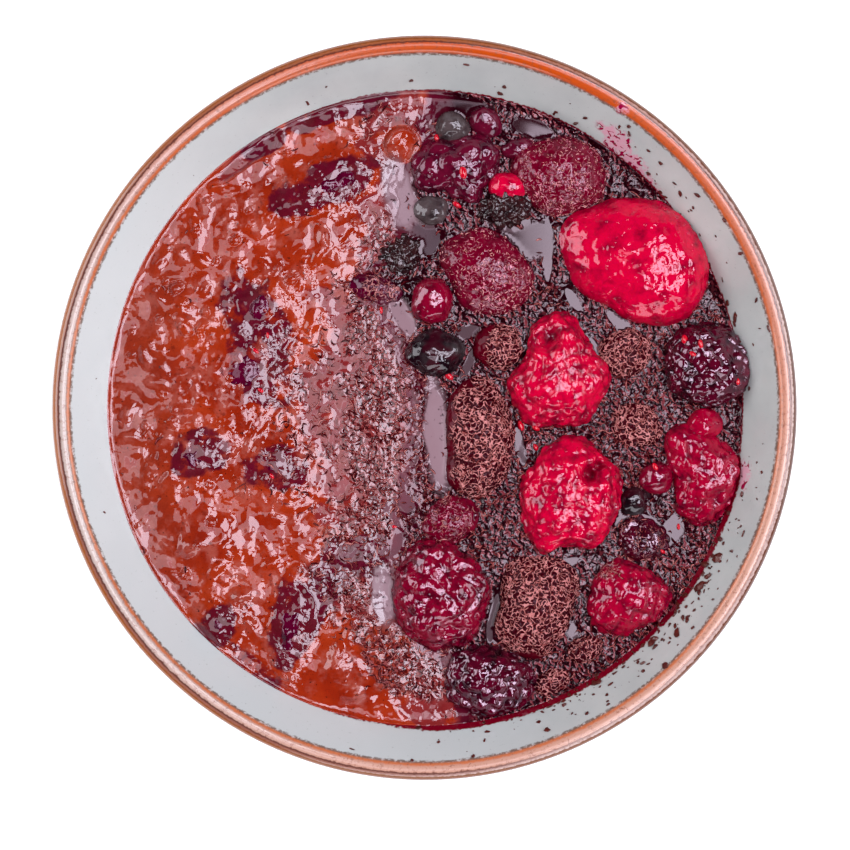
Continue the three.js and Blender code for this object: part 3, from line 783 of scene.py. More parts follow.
# Where grated chocolate lies on the syrup and the film: centre, size across, turn and density
GRATED = [
    ((-6, -4), (27, 58), 4, 1.0), ((-6, -34), (28, 30), 0, 0.75), ((-5, 34), (18, 20), 0, 0.8),
    ((-10, 26), (18, 12), 0, 0.8), ((-21, -6), (20, 46), 0, 0.32), ((42, 8), (24, 24), 0, 0.9),
    ((43, -8), (16, 22), 0, 0.9), ((-15, -36), (20, 14), 0, 0.9), ((20, -30), (20, 18), 0, 0.8),
    ((52, -31), (24, 26), -40, 0.9), ((36, -52), (34, 10), 24, 0.8), ((22, -54), (22, 16), 0, 0.7),
    ((58, -4), (12, 30), 0, 0.6), ((-2, -51), (26, 20), 0, 0.85), ((24, 22), (14, 10), 0, 0.55),
    ((30, 36), (12, 14), 0, 0.5), ((18, 2), (10, 44), 0, 0.7), ((14, -18), (14, 14), 0, 0.9),
    ((2, 63), (34, 8), 0, 0.4), ((26, -4), (16, 10), 0, 0.8), ((-8, 60), (16, 12), 0, 0.35),
    ((60, 22), (12, 14), 0, 0.7),
]

# The long calm patches at the pool's edge, which are painted pale as a painted reflection on top of their
# real one: centre, size across, turn and how clear they are
REFLECTION_STRIPS = [
    ((-5.5, 46), (7, 16), 10, 1.0), ((-4.8, 20), (4, 12), 30, 0.9), ((-8.6, -40.5), (5.4, 14), 8, 1.0),
    ((2.6, -6), (5, 24), 4, 0.93),
]

# Everywhere that the syrup lies open and calm
CALM = REFLECTION_STRIPS + [
    ((26.4, 34), (2.6, 15), 0, 1.0), ((31.6, 23.6), (2.6, 7), 35, 1.0), ((37.2, 11), (2.6, 10), 25, 1.0),
    ((41.5, 18.6), (7, 2.6), -42, 1.0), ((8.6, 16), (7, 3), 15, 1.0), ((9.4, 9.6), (2.4, 9), -25, 1.0),
    ((14.8, -45), (2.4, 12), -10, 1.0), ((53, -26), (6, 9), -30, 0.9), ((42.6, -22.5), (3.4, 7), -20, 0.9),
    ((48.5, -24.5), (7, 3.2), -30, 0.9), ((19.5, 37), (7, 4), -20, 1.0), ((-1, 37), (9, 9), -30, 1.0),
    ((-6.2, -29.5), (2.6, 6), -25, 0.9), ((24, 36), (8, 9), -25, 0.9), ((-5, 56.6), (10, 10), 0, 1.0),
    ((3, 64.4), (22, 5), 0, 1.0), ((23, 60), (9, 4), -20, 1.0), ((9, 56), (6, 4), 0, 0.9),
    ((31.5, -47.5), (3, 6), 30, 0.8), ((21.4, 41), (2.4, 8), 20, 1.0), ((30, -33.4), (8, 2.4), 20, 0.8),
    ((20.4, -8), (2.2, 10), 10, 0.8), ((-3.5, -20.5), (4, 5), 0, 0.8), ((38, 57), (8, 2), -30, 0.8),
]

# How ragged the edges of these patches are
RAGGED = 0.28
FILM_RAGGED = 0.5
GRATED_RAGGED = 0.45
CALM_RAGGED = 0.22

# How thickly grated chocolate lies on the pool where no patch says more
OVER_POOL = 0.75

# How softly the lumps of rice come through the sauce
SAUCE_SOFTNESS = 0.22


def patches(x, y, ovals, seed, ragged_by=RAGGED):
    """The strength of soft ovals at each point, with ragged edges."""
    spots = flat_points(x, y)
    ragged = ragged_by * layered(spots, 7, seed)
    total = np.zeros(len(x))
    for at, size, turn, strength in ovals:
        inside = smooth_step(1.3, 0.7, across(x, y, at, size, turn) + ragged)
        total = np.maximum(total, inside * strength)
    return total


def grated_patches(x, y):
    return patches(x, y, GRATED, 53, GRATED_RAGGED)


def uncovered(x, y):
    """1 where grated chocolate may lie, down to 0 where the syrup is open and calm."""
    return 1 - patches(x, y, CALM, 57, CALM_RAGGED)


def grated_cover(x, y):
    """How thickly grated chocolate lies on the syrup and the pudding at each point."""
    over_pool = OVER_POOL * smooth_step(0, 8, x - pool_edge_x(y))
    return np.maximum(grated_patches(x, y), over_pool) * uncovered(x, y)


grain_rng = np.random.default_rng(11)

# Swollen grains of rice: how many, their size, the square they are drawn in and how far out they lie
GRAINS = 330
GRAIN_LENGTH = 6.2
GRAIN_WIDTH = 3.0
GRAIN_SQUARE = 68
GRAIN_REACH = 66
GRAINS_PAST_EDGE = 2
GRAIN_RISE = 1.1


def grain_table():
    """Place, direction, size and rise of each swollen grain of rice under the sauce."""
    spot = grain_rng.uniform(-GRAIN_SQUARE, GRAIN_SQUARE, (GRAINS * 3, 2))
    edge = pool_edge_x(spot[:, 1])
    keep = (np.hypot(spot[:, 0], spot[:, 1]) < GRAIN_REACH) & (spot[:, 0] < edge + GRAINS_PAST_EDGE)
    spot = spot[keep][:GRAINS]
    count = len(spot)
    turn = grain_rng.uniform(0, math.pi, count)
    size = grain_rng.uniform(0.75, 1.2, count)
    rise = grain_rng.uniform(0.15, 1.0, count) ** 1.5 * GRAIN_RISE
    return spot, turn, size, rise


def rice_relief(x, y):
    """How far the grains lift the sauce at each point."""
    relief = np.zeros(len(x))
    order = np.argsort(x)
    sorted_x = x[order]
    for (gx, gy), turn, size, rise in zip(*grain_table()):
        reach = GRAIN_LENGTH * size * 0.9
        first = np.searchsorted(sorted_x, gx - reach)
        last = np.searchsorted(sorted_x, gx + reach)
        chosen = order[first:last]
        chosen = chosen[np.abs(y[chosen] - gy) < reach]
        oval = (GRAIN_LENGTH * size, GRAIN_WIDTH * size)
        bend = 0.35 * np.sin((x[chosen] - gx) * 0.5 + gy)
        distance = across(x[chosen], y[chosen] + bend, (gx, gy), oval, math.degrees(turn))
        lump = rise * np.exp(-1.3 * distance ** 2.3)
        relief[chosen] = (relief[chosen] ** 3 + lump ** 3) ** (1 / 3)
    return relief


# Blisters in the sauce: place and radius. The large ones lie where the photograph shows them.
SMALL_BUBBLES = 120
bubble_rng = np.random.default_rng(23)
BUBBLE_TABLE = [
    (-53.3, 25.8, 1.5), (-51.1, 16.7, 1.7), (-47.0, 20.5, 1.1), (-28.6, 27.5, 1.3), (-40.5, 36.0, 1.2),
] + [
    (bubble_rng.uniform(-64, 0), bubble_rng.uniform(-62, 62), bubble_rng.uniform(0.4, 0.95))
    for _ in range(SMALL_BUBBLES)
]


def bubble_relief(x, y):
    """Round blisters in the sauce, each with a low groove round it."""
    relief = np.zeros(len(x))
    for bx, by, radius in BUBBLE_TABLE:
        near = np.nonzero((np.abs(x - bx) < radius * 2) & (np.abs(y - by) < radius * 2))[0]
        bent = 0.25 * radius * noise(flat_points(x[near], y[near]), 1.6, 97)
        distance = np.hypot(x[near] - bx + bent, (y[near] - by) * (1.2 - bent)) / radius
        dome = np.sqrt(np.clip(1 - distance ** 2, 0, 1)) * radius * 0.5
        groove = 0.06 * radius * np.exp(-((distance - 1.15) / 0.2) ** 2)
        relief[near] += dome - groove
    return relief


def wall_gap(x, y):
    """Distance from the bowl's wall at the food's level."""
    return inside_radius(PUDDING_LEVEL) - np.hypot(x, y)


def sunk_collars(x, y):
    """Sauce that rises round the sunk berry pieces, so that they lie nearly flush with it."""
    collar = np.zeros(len(x))
    ragged = 0.5 * layered(flat_points(x, y), 3.4, 59)
    for _, _, at, size, turn, rise in SUNK_PIECES:
        distance = across(x, y, at, size, turn) + ragged
        collar = np.maximum(collar, 0.95 * rise * smooth_step(2.8, 0.4, distance))
    return collar


def mound_heights(x, y):
    mounds = np.zeros(len(x))
    for at, size, turn, rise in MOUNDS:
        distance = across(x, y, at, size, turn)
        mounds = np.maximum(mounds, rise * np.clip(1 - (distance * 0.85) ** 2, 0, 1) ** 1.5)
    return mounds


def pudding_height(x, y, film):
    """The sauce with soft lumps of rice coming through it, lower and calmer under the film."""
    spots = flat_points(x, y)
    mounds = mound_heights(x, y)
    sauce = 0.42 * layered(spots, 8.5, 61) + 0.13 * noise(spots, 3.6, 62) + 0.5 * mounds + sunk_collars(x, y)
    lumps = rice_relief(x, y) + mounds + 0.5 * layered(spots, 7, 63) - 0.3
    eased = SAUCE_SOFTNESS * np.logaddexp(0, (lumps - sauce) / SAUCE_SOFTNESS)
    lifted = sauce + eased + bubble_relief(x, y)
    lifted += 0.03 * noise(spots, 1.6, 64)
    thick = 1 - 0.62 * film
    return PUDDING_LEVEL - 0.35 * film + (lifted - 0.15) * thick + 0.04 * noise(spots, 5, 66) * film


def food_field(x, y):
    """Height of the food without its berries, and the marks that its material reads."""
    spots = flat_points(x, y)
    into_pool = x - pool_edge_x(y)
    wander = 2.5 * layered(spots, 6, 41)
    pool = smooth_step(-5, 4, into_pool + wander)
    film = np.maximum(patches(x, y, FILMS, 43, FILM_RAGGED), smooth_step(-2, 3, into_pool))
    stain = np.maximum(patches(x, y, STAINS, 47), pool)
    pudding = pudding_height(x, y, film)

    from_ball = across(x, y, ORANGE_BALL["at"], (2 * ORANGE_BALL["radius"],) * 2, 0)
    dome = ORANGE_BALL["rise"] * np.sqrt(np.clip(1 - from_ball ** 2, 0, 1))
    ball_height = PUDDING_LEVEL + dome - ORANGE_BALL["sunk"]
    pudding = np.where(from_ball < 1, np.maximum(pudding, ball_height), pudding)
    off_ball = smooth_step(1.0, 1.25, from_ball)

    syrup = SYRUP_LEVEL + 0.012 * noise(spots, 9, 65)
    height = pudding * (1 - pool) + syrup * pool
    gap = wall_gap(x, y)
    free = smooth_step(-0.6, 1.6, gap)
    height = height * free + (SYRUP_LEVEL + 0.2) * (1 - free)
    height += EDGE_RISE * np.exp(-np.clip(gap, 0, None) / EDGE_REACH)
    milky = patches(x, y, REFLECTION_STRIPS, 57, CALM_RAGGED)
    return height, {
        "film": film * off_ball,
        "stain": stain * off_ball,
        "grated": grated_cover(x, y) * off_ball,
        "pool": np.maximum(smooth_step(1, 8, into_pool + wander), milky),
        "milky": milky,
    }


def sheet_rows(radius):
    """The y of each row of the sheet, closer together where the bowl's outline runs across."""
    share = np.linspace(-1, 1, SHEET_ROWS)
    return radius * (0.6 * share + 0.4 * np.sin(share * math.pi / 2))


def block_edges(side, radius):
    """The rows' y and both their ends: from the bowl's wall to the pool's edge, or from there to the wall."""
    y = sheet_rows(radius)
    reach = np.sqrt(np.clip(radius ** 2 - y ** 2, 0, None))
    edge = np.clip(pool_edge_x(y), -reach, reach)
    left, right = (-reach, edge) if side == "pudding" else (edge, reach)
    return y, left, right


def sheet_places(side, columns):
    """The x and the y of each point of one food block's top sheet."""
    top_radius = inside_radius(SYRUP_LEVEL + EDGE_RISE) + INTO_GLAZE
    y, left, right = block_edges(side, top_radius)
    share = np.linspace(0, 1, columns)
    x = (left[:, None] * (1 - share) + right[:, None] * share).ravel()
    return x, np.repeat(y, columns)


def block_mesh(side, sheet, columns, name, material, node):
    """A closed mesh: the top sheet, walls that follow the bowl, and a flat underside on the pool's floor."""
    points = [sheet]
    faces = [grid_faces(SHEET_ROWS, columns)]
    total = len(sheet)
    rows = np.arange(SHEET_ROWS)
    ring = [rows * columns, rows * columns + columns - 1]
    top = SYRUP_LEVEL - SKIRT_TOP
    for step in range(SKIRT_STEPS):
        level = top - (top - POOL_FLOOR) * step / (SKIRT_STEPS - 1)
        y, left, right = block_edges(side, inside_radius(level) - SKIRT_GAP)
        below = []
        for x in (left, right):
            points.append(np.column_stack([x, y, np.full(SHEET_ROWS, level)]))
            below.append(total + rows)
            total += SHEET_ROWS
        for above, under, turn_over in zip(ring, below, (False, True)):
            quads = np.stack([above[:-1], above[1:], under[1:], under[:-1]], axis=-1)
            faces.append(quads[:, ::-1] if turn_over else quads)
        ring = below
    left, right = ring
    faces.append(np.stack([left[:-1], left[1:], right[1:], right[:-1]], axis=-1))
    return mesh_piece(name, np.vstack(points), np.vstack(faces), material, node)


def pad(values, total):
    return np.concatenate([values, np.zeros(total - len(values))])


# Wet surfaces mirror a cool, overcast window, which looks warmer in the berries and in the syrup
WET_TINT = (0.95, 0.92, 1.0, 1)
BERRY_TINT = (1.0, 0.8, 0.98, 1)
SYRUP_TINT = (1.0, 0.86, 0.96, 1)

PUDDING_COLOURS = [(0.3, (116, 22, 6)), (0.5, (134, 34, 10)), (0.7, (148, 46, 18))]

# The width of the grated chocolate's scraps, and of the strokes between them
SCRAP_WIDTH = 1.12
STROKE_WIDTH = 1.2


def pudding_colour(g):
    """Uneven brown sauce with paler grains and dark flecks, and a calmer tone near the wall."""
    cloud = g.noise(11, 3.0, 0.6)
    fine = g.noise(1.6, 3.0, 0.6)
    near_wall = g.span(g.wobbled(g.coordinates()["X"], cloud, 12 * MM), -44 * MM, -62 * MM)
    colour = g.ramp(cloud, PUDDING_COLOURS)
    colour = g.mix(g.times(near_wall, 0.5), colour, linear(120, 42, 28))
    colour = g.mix(g.span(g.noise(4.2, 3.0, 0.65), 0.46, 0.7, 0.0, 0.75), colour, linear(146, 72, 62))
    colour = g.mix(g.span(fine, 0.58, 0.72, 0.0, 0.5), colour, linear(74, 12, 8))
    return g.mix(g.times(g.span(g.noise(0.55, 1.0), 0.7, 0.76), 0.8), colour, linear(38, 10, 8))


def pool_colour(g):
    """Deep syrup, painted pale in its long calm patches as a painted reflection."""
    # Painted reflection: the calm strips are painted a pale mauve grey
    milky = g.times(g.attribute("milky"), g.span(g.noise(1.2, 2.0), 0.75, 0.6))
    deep = g.between(g.noise(9, 2.0), (12, 0, 3), (46, 0, 13))
    return g.mix(milky, deep, linear(120, 94, 102))


def food_material(name, gloss, tint):
    """Pudding, thin syrup film and deep syrup in one material, so that they blend where they meet."""
    g = Graph(name)
    pool = g.attribute("pool")
    grated = g.attribute("grated")
    off_pool = g.inverse(pool)

    film_colour = g.between(g.noise(2.2, 3.0, 0.6), (82, 8, 18), (124, 42, 46))
    thin = g.span(g.wobbled(g.attribute("film"), g.noise(4.5, 4.0, 0.65), 1.5), 0.35, 0.75)
    colour = g.mix(g.times(thin, 0.8), pudding_colour(g), film_colour)
    burgundy = g.between(g.noise(3, 2.0), (38, 0, 14), (84, 0, 34))
    stained = g.span(g.wobbled(g.attribute("stain"), g.noise(3.6, 4.0, 0.65), 1.1), 0.55, 0.85)
    colour = g.mix(g.times(stained, 0.85), colour, burgundy)
    colour = g.mix(pool, colour, pool_colour(g))

    lumps, away, towards = g.scraps(SCRAP_WIDTH)
    small_patches = g.times(g.plus(g.noise(2.6, 3.0), -0.5), 0.9)
    large_patches = g.times(g.plus(g.noise(9, 1.0), -0.5), 1.2)
    dense = g.span(g.plus(grated, g.plus(small_patches, large_patches)), 0.35, 0.8)
    dense = g.times(dense, g.mix_value(g.times(stained, off_pool), 1.0, 0.1))
    # Painted shade and painted light: flanks of the scraps that face away from the window are painted dark
    # and those that face it pale; the same two colours paint the dark and pale chocolate strokes
    dark = g.between(pool, (42, 0, 6), (22, 0, 4))
    pale_lit_film = g.between(g.noise(2.4, 2.0), (96, 20, 26), (156, 88, 88))
    pale_lit_pool = g.between(g.noise(2.4, 2.0), (90, 10, 22), (150, 72, 80))
    pale = g.mix(pool, pale_lit_film, pale_lit_pool)
    broken = g.times(g.times(dense, off_pool), g.span(g.noise(1.4, 1.0), 0.4, 0.5))
    colour = g.mix(g.times(g.times(away, dense), 0.85), colour, dark)
    colour = g.mix(g.times(g.times(towards, dense), g.mix_value(pool, 0.4, 0.75)), colour, pale)
    colour = g.mix(g.times(g.strokes(STROKE_WIDTH, 0.1, 0.5), g.times(broken, 0.85)), colour, dark)
    colour = g.mix(g.times(g.strokes(STROKE_WIDTH, 0.05, 0.5), g.times(broken, 0.9)), colour, pale)

    rough_spots = g.span(g.noise(5.5, 2.0), 0.52, 0.62, 0.12, 1.0)
    ripple = g.bump(g.noise(1.5, 1.0), 0.22, g.times(off_pool, rough_spots))
    open_pool = g.times(g.times(pool, g.span(grated, 0.14, 0.34)), g.mix_value(dense, 1.0, 0.3))
    swirls = g.bump(g.noise(3.4, 0.5, 0.4, 0.8), 2.3, open_pool, under=ripple)
    g.surface(
        Base_Color=colour,
        Roughness=0.055,
        Specular_IOR_Level=gloss,
        Specular_Tint=tint,
        Normal=g.bump(lumps, g.mix_value(pool, 0.2, 0.85), dense, under=swirls),
    )
    return g.material


# Berries

def ball(level):
    """Points and triangles of a ball of radius 1."""
    shape = bmesh.new()
    bmesh.ops.create_icosphere(shape, subdivisions=level, radius=1)
    points = np.array([vertex.co for vertex in shape.verts])
    faces = np.array([[vertex.index for vertex in face.verts] for face in shape.faces])
    shape.free()
    return unit_rows(points), faces


# How finely the balls are divided that crumbs, seeds, small and large berries are shaped from
CRUMB_BALL, SEED_BALL, SMALL_BALL, LARGE_BALL = 1, 3, 5, 6
BALLS = {level: ball(level) for level in (CRUMB_BALL, SEED_BALL, SMALL_BALL, LARGE_BALL)}

# Berries longer than this get a finer mesh
FINE_FROM = 13.6

# Berries narrower than this have smaller lumps
FULL_LUMPS_FROM = 15
LUMP_WIDTH = 7.5
WRINKLE_WIDTH = 1.5

# How much of the square of its width a drupelet takes up, and how much of its width its dome and its seam do
DRUPELET_AREA = 0.8
DOME_SHARE = 0.46
SEAM_SHARE = 0.5

# How far the seams waver, and over what width
SEAM_WAVER = 0.55
WAVER_WIDTH = 2.6

# A strawberry's seeds: the area that each takes up, and the depth and width of its pit
SEED_AREA = 9
PIT_DEPTH = 0.16
PIT_WIDTH = 0.75

# How far berries that lean on the wall keep off the glaze
GLAZE_GAP = 0.25

# Dents deeper than this get painted shade inside
DEEP = 2


def spread_places(count, seed):
    """Even but jittered places on a ball."""
    draw = np.random.default_rng(seed)
    index = np.arange(count) + 0.5
    height = 1 - 2 * index / count
    angle = index * math.pi * (3 - math.sqrt(5))
    flat = np.sqrt(1 - height ** 2)
    places = np.column_stack([height, flat * np.cos(angle), flat * np.sin(angle)])
    places += draw.normal(0, 0.32 / math.sqrt(count), places.shape)
    return unit_rows(places)


def skin(unit, berry):
    """Points on the berry's smooth outline, in its own directions."""
    taper = 0 if berry["name"] in OUTLINES else KINDS[berry["kind"]]["taper"]
    half = np.array(berry["size"]) / 2
    along = np.clip(unit[:, 0] - TAPER_FROM, 0, None)
    narrow = 1 - taper * TAPER_CURVE * along ** 2
    return unit * half * np.column_stack([np.ones(len(unit)), narrow, narrow])


def skin_area(berry):
    return 4 * math.pi * (np.prod(berry["size"]) ** (1 / 3) / 2) ** 2


def drupelet_relief(base, berry, seed):
    """Height of the drupelets, and how near each point is to the seams between them."""
    kind = KINDS[berry["kind"]]
    width = kind["drupelet"]
    count = int(skin_area(berry) / (DRUPELET_AREA * width ** 2))
    places = skin(spread_places(count, seed), berry)
    waver = np.column_stack([noise(base, WAVER_WIDTH, seed + axis) for axis in (1, 2, 3)])
    warped = base + SEAM_WAVER * waver
    distances = np.linalg.norm(warped[:, None, :] - places[None], axis=2)
    nearest = np.argpartition(distances, 1, axis=1)[:, :2]
    pair = np.take_along_axis(distances, nearest, axis=1)
    first = pair.min(axis=1)
    second = pair.max(axis=1)
    owner = np.take_along_axis(nearest, pair.argmin(axis=1)[:, None], axis=1)[:, 0]
    swell = np.random.default_rng(seed).uniform(0.45, 1.25, len(places))[owner]
    dome = np.exp(-(first / (DOME_SHARE * width)) ** 2)
    seam = smooth_step(0, SEAM_SHARE * width, second - first)
    crease = kind["crease"]
    return kind["drupelet_height"] * swell * ((1 - crease) * dome + crease * seam), seam


def turned_about_z(points, degrees):
    angle = math.radians(degrees)
    x = points[:, 0] * math.cos(angle) - points[:, 1] * math.sin(angle)
    y = points[:, 0] * math.sin(angle) + points[:, 1] * math.cos(angle)
    return np.column_stack([x, y, points[:, 2]])


def slant(points, lean, half):
    """How much higher the points of a slanting berry are, as a share of their height."""
    rise = (points[:, 0] * lean[0] + points[:, 1] * lean[1]) / half[:2].mean()
    return np.where(points[:, 2] > 0, rise - 0.4 * lean[0] ** 2, 0)


def berry_shape(berry, level):
    """Points, triangles and seam marks of one berry."""
    kind = KINDS[berry["kind"]]
    seed = sum(ord(letter) * (index + 3) for index, letter in enumerate(berry["name"]))
    is_fine = berry["size"][0] > FINE_FROM and berry["kind"] != "sunk"
    unit, faces = BALLS[LARGE_BALL if is_fine else SMALL_BALL]
    base = skin(unit, berry)
    half = np.array(berry["size"]) / 2
    seam = np.ones(len(unit))
    lift = np.full(len(unit), -0.25 * kind["drupelet_height"])
    if kind["drupelet"]:
        lift, seam = drupelet_relief(base, berry, seed)
        lift = lift - 0.5 * kind["drupelet_height"]
    scale = min(1, math.sqrt(berry["size"][1] / FULL_LUMPS_FROM))
    lift = lift + kind["lumps"] * scale * layered(base, LUMP_WIDTH * scale, seed + 5, 2)
    lift += kind["wrinkles"] * layered(base, WRINKLE_WIDTH, seed + 9, 2)
    if berry["kind"] == "strawberry":
        lift += strawberry_pits(base, berry, seed)

    outward = turned_about_z(unit_rows(unit / half), berry["turn"])
    points = to_outline(turned_about_z(base, berry["turn"]), berry)
    points = points + outward * lift[:, None]
    points[:, 2] *= 1 + slant(points, LEANS.get(berry["name"], (0, 0)), half)
    points += [*berry["at"], level + berry["rise"] - berry["size"][2] / 2]
    for x, y, radius, depth in DENTS.get(berry["name"], []):
        distance = np.hypot(points[:, 0] - x, points[:, 1] - y) / radius
        push = depth * np.exp(-distance ** 2) * (unit[:, 2] > -0.2)
        direction = outward if depth < 0 else outward * 0.35 + [0, 0, 0.65]
        points -= direction * push[:, None]
    return points, faces, seam


def to_outline(points, berry):
    """Widens or narrows a berry so that its outline from above is the one listed for it."""
    if berry["name"] not in OUTLINES:
        return points
    radii = np.array(OUTLINES[berry["name"]], float)
    step = 2 * math.pi / len(radii)
    angle = np.arctan2(points[:, 1], points[:, 0]) % (2 * math.pi)
    place_in = angle / step
    before = np.floor(place_in).astype(int) % len(radii)
    t = place_in - np.floor(place_in)
    a, b, c, d = (radii[(before + shift) % len(radii)] for shift in (-1, 0, 1, 2))
    wanted = b + 0.5 * t * (c - a + t * (2 * a - 5 * b + 4 * c - d + t * (3 * (b - c) + d - a)))
    half = np.array(berry["size"]) / 2
    from_axis = angle - math.radians(berry["turn"])
    oval = 1 / np.sqrt((np.cos(from_axis) / half[0]) ** 2 + (np.sin(from_axis) / half[1]) ** 2)
    share = wanted / oval
    return points * np.column_stack([share, share, np.ones(len(points))])


def strawberry_pits(base, berry, seed):
    """Shallow pits round the seeds of a strawberry."""
    places = skin(spread_places(int(skin_area(berry) / SEED_AREA), seed), berry)
    distance = np.linalg.norm(base[:, None, :] - places[None], axis=2).min(axis=1)
    return -PIT_DEPTH * np.exp(-(distance / PIT_WIDTH) ** 2)


# Strokes of grated chocolate on berries: the darkest and the palest, and the share that strokes take up. The
# palest is partly painted highlight; the pink strokes, cut into dashes on strawberries, are painted glints
STROKES = ((142, 62, 64), (208, 144, 142))
PINK_STROKES = ((150, 44, 74), (214, 140, 156))
STROKE_SHARE = 0.042
DASH_SHARE = 0.026


def berry_look(
    flesh, shade, cover=0.0, sheen=0.5, roughness=0.07, glow=0.0, tint=BERRY_TINT,
    dashed=False, strokes=STROKES, between_strokes=(42, 0, 6),
):
    """How a berry looks. flesh is its colour on top, shade its darker colour for mottling and for the painted
    shade of its seams and sides, cover the share under grated chocolate. strokes are the chocolate's darkest
    and palest colour, the palest partly painted highlight, and dashed cuts them short into painted glints."""
    return {
        "flesh": flesh, "shade": shade, "cover": cover, "sheen": sheen, "roughness": roughness,
        "glow": glow, "tint": tint, "dashed": dashed, "strokes": strokes, "between_strokes": between_strokes,
    }


LOOKS = {
    "bright": berry_look((182, 0, 46), (108, 0, 28), glow=0.22),
    "crimson": berry_look(
        (116, 0, 32), (56, 0, 16), cover=0.05, sheen=0.75, glow=0.15,
        dashed=True, strokes=PINK_STROKES, between_strokes=(96, 0, 22),
    ),
    "torn": berry_look((146, 0, 38), (84, 0, 24), sheen=0.55, glow=0.2),
    "deep": berry_look(
        (102, 0, 30), (46, 0, 10), cover=0.1, sheen=0.45, glow=0.08,
        dashed=True, strokes=PINK_STROKES, between_strokes=(88, 0, 22),
    ),
    "mauve": berry_look((84, 6, 32), (40, 0, 14), sheen=0.55),
    "purple": berry_look(
        (74, 0, 24), (14, 0, 5), cover=0.1, sheen=0.9,
        dashed=True, between_strokes=(34, 0, 10),
    ),
    "black": berry_look((22, 4, 12), (6, 1, 4), roughness=0.1, tint=WET_TINT),
    "grey": berry_look((70, 58, 60), (20, 10, 14), tint=WET_TINT),
    "covered": berry_look((78, 0, 16), (40, 0, 8), cover=0.95, sheen=0.1, roughness=0.12),
    "sunk": berry_look((74, 0, 30), (38, 0, 14), sheen=0.4, roughness=0.08),
    "clump": berry_look((44, 18, 20), (18, 4, 8), roughness=0.12, tint=WET_TINT),
}

# Looks by kind, and those of single berries
LOOK_OF_KIND = {"bramble": "purple", "bilberry": "black", "choc": "covered", "sunk": "sunk"}
LOOK_OF_BERRY = {
    "strawberry_large": "bright", "raspberry_upper": "bright", "raspberry_middle": "bright",
    "raspberry_left": "crimson", "raspberry_right": "torn", "raspberry_torn": "torn",
    "raspberry_scrap": "crimson", "currant_bright": "bright", "currant_left": "crimson",
    "strawberry_back": "deep", "strawberry_left": "deep", "berry_centre": "deep",
    "crumb_cluster": "clump", "dark_piece": "sunk", "bramble_back": "mauve", "bilberry_back": "grey",
    "bilberry_pair": "mauve", "bilberry_small": "grey", "berry_upper": "mauve", "bilberry_hidden": "clump",
}

# Where grated chocolate covers single berries: centre, size across, turn and how thickly
COVERS = {
    "strawberry_long": [((13.4, -6), (31, 14.5), 86, 1.0)],
    "strawberry_left": [((17.5, 24.5), (18, 15), -32, 0.62), ((12, 30), (24, 20), -32, 0.4)],
    "strawberry_back": [((29, 51), (26, 22), 0, 0.42), ((30, 44), (20, 10), 0, 0.62)],
    "berry_round": [((17.2, 12.6), (8, 11), 0, 0.95)],
    "dark_piece": [((-9, 25.6), (10, 8), 0, 0.45)],
    "strawberry_front": [((24.7, -41.8), (30, 24), 0, 0.95)],
    "berry_centre": [((4, -24), (14, 12), 0, 0.45)],
    "berry_right": [((46.8, -28.2), (12, 10), 0, 0.4)],
    "raspberry_right": [((38, -34), (8, 6), 0, 0.4)],
}


def cover_patches(name, x, y):
    return patches(x, y, COVERS[name], 71)


def shaded_hollows(points, berry):
    """How far each point lies in one of the berry's deep dents, which get painted shade."""
    inside = np.zeros(len(points))
    for x, y, radius, depth in DENTS.get(berry["name"], []):
        if depth > DEEP:
            distance = np.hypot(points[:, 0] - x, points[:, 1] - y) / (0.9 * radius)
            inside = np.maximum(inside, np.exp(-distance ** 2))
    return inside


def look_of(berry):
    return LOOK_OF_BERRY.get(berry["name"], LOOK_OF_KIND.get(berry["kind"], "covered"))


def fruit_material(look):
    values = LOOKS[look]
    g = Graph(f"fruit_{look}")
    # Mostly random mottling between shade and flesh, with a little painted shade along the seams between
    # drupelets
    tone = g.plus(
        g.times(g.attribute("seam"), 0.2),
        g.times(g.plus(g.noise(3.2, 3.0, 0.6), -0.3), 2.0),
    )
    colour = g.between(g.span(tone, 0.0, 0.8), values["shade"], values["flesh"])
    # Painted shade: the lower sides near the syrup and the deep dents take a darker copy of the shade colour
    painted_side_shade = linear(*[channel * 0.55 for channel in values["shade"]])
    colour = g.mix(g.times(g.attribute("side"), 0.75), colour, painted_side_shade)

    strands = g.strokes(1.05, DASH_SHARE if values["dashed"] else STROKE_SHARE, 0.3)
    if values["dashed"]:
        strands = g.times(strands, g.span(g.noise(1.3, 1.0), 0.47, 0.53))
    dense = g.span(g.wobbled(g.attribute("cover"), g.noise(2.0, 3.0), 0.7), 0.25, 0.6)
    colour = g.mix(g.times(dense, 0.85), colour, linear(*values["between_strokes"]))
    # The pale strokes are partly painted highlight, and where the look is dashed they are painted glints
    pale = g.between(g.noise(1.6, 2.0), *values["strokes"])
    colour = g.mix(g.times(strands, dense), colour, pale)
    if look == "black":
        bloom = g.span(g.noise(7, 3.0, 0.6), 0.42, 0.66, 0.0, 0.5)
        colour = g.mix(bloom, colour, linear(74, 68, 70))
        colour = g.mix(g.span(g.noise(5, 2.0), 0.5, 0.62, 0.0, 0.7), colour, linear(48, 0, 14))

    beads = g.span(g.cells(1.9), 0.08, 0.2, 1.0, 0.0)
    waves = g.plus(g.noise(1.8, 0.5, 0.5, 0.3), g.times(g.noise(3.4, 0.5), 1.4))
    skin_bump = g.bump(g.plus(waves, g.times(beads, 0.3)), 0.75, g.attribute("crumpled"))
    crinkle_depth = 0.25 if values["dashed"] else 0.6
    crinkles = g.bump(g.noise(0.8, 0.5, 0.4, 0.6), crinkle_depth, dense, under=skin_bump)
    g.surface(
        Base_Color=colour,
        Roughness=values["roughness"],
        Specular_Tint=values["tint"],
        Specular_IOR_Level=values["sheen"],
        Subsurface_Weight=values["glow"],
        Subsurface_Radius=(1.0, 0.12, 0.3),
        Subsurface_Scale=2.2 * MM,
        Normal=g.bump(strands, 0.12, dense, under=crinkles),
    )
    return g.material


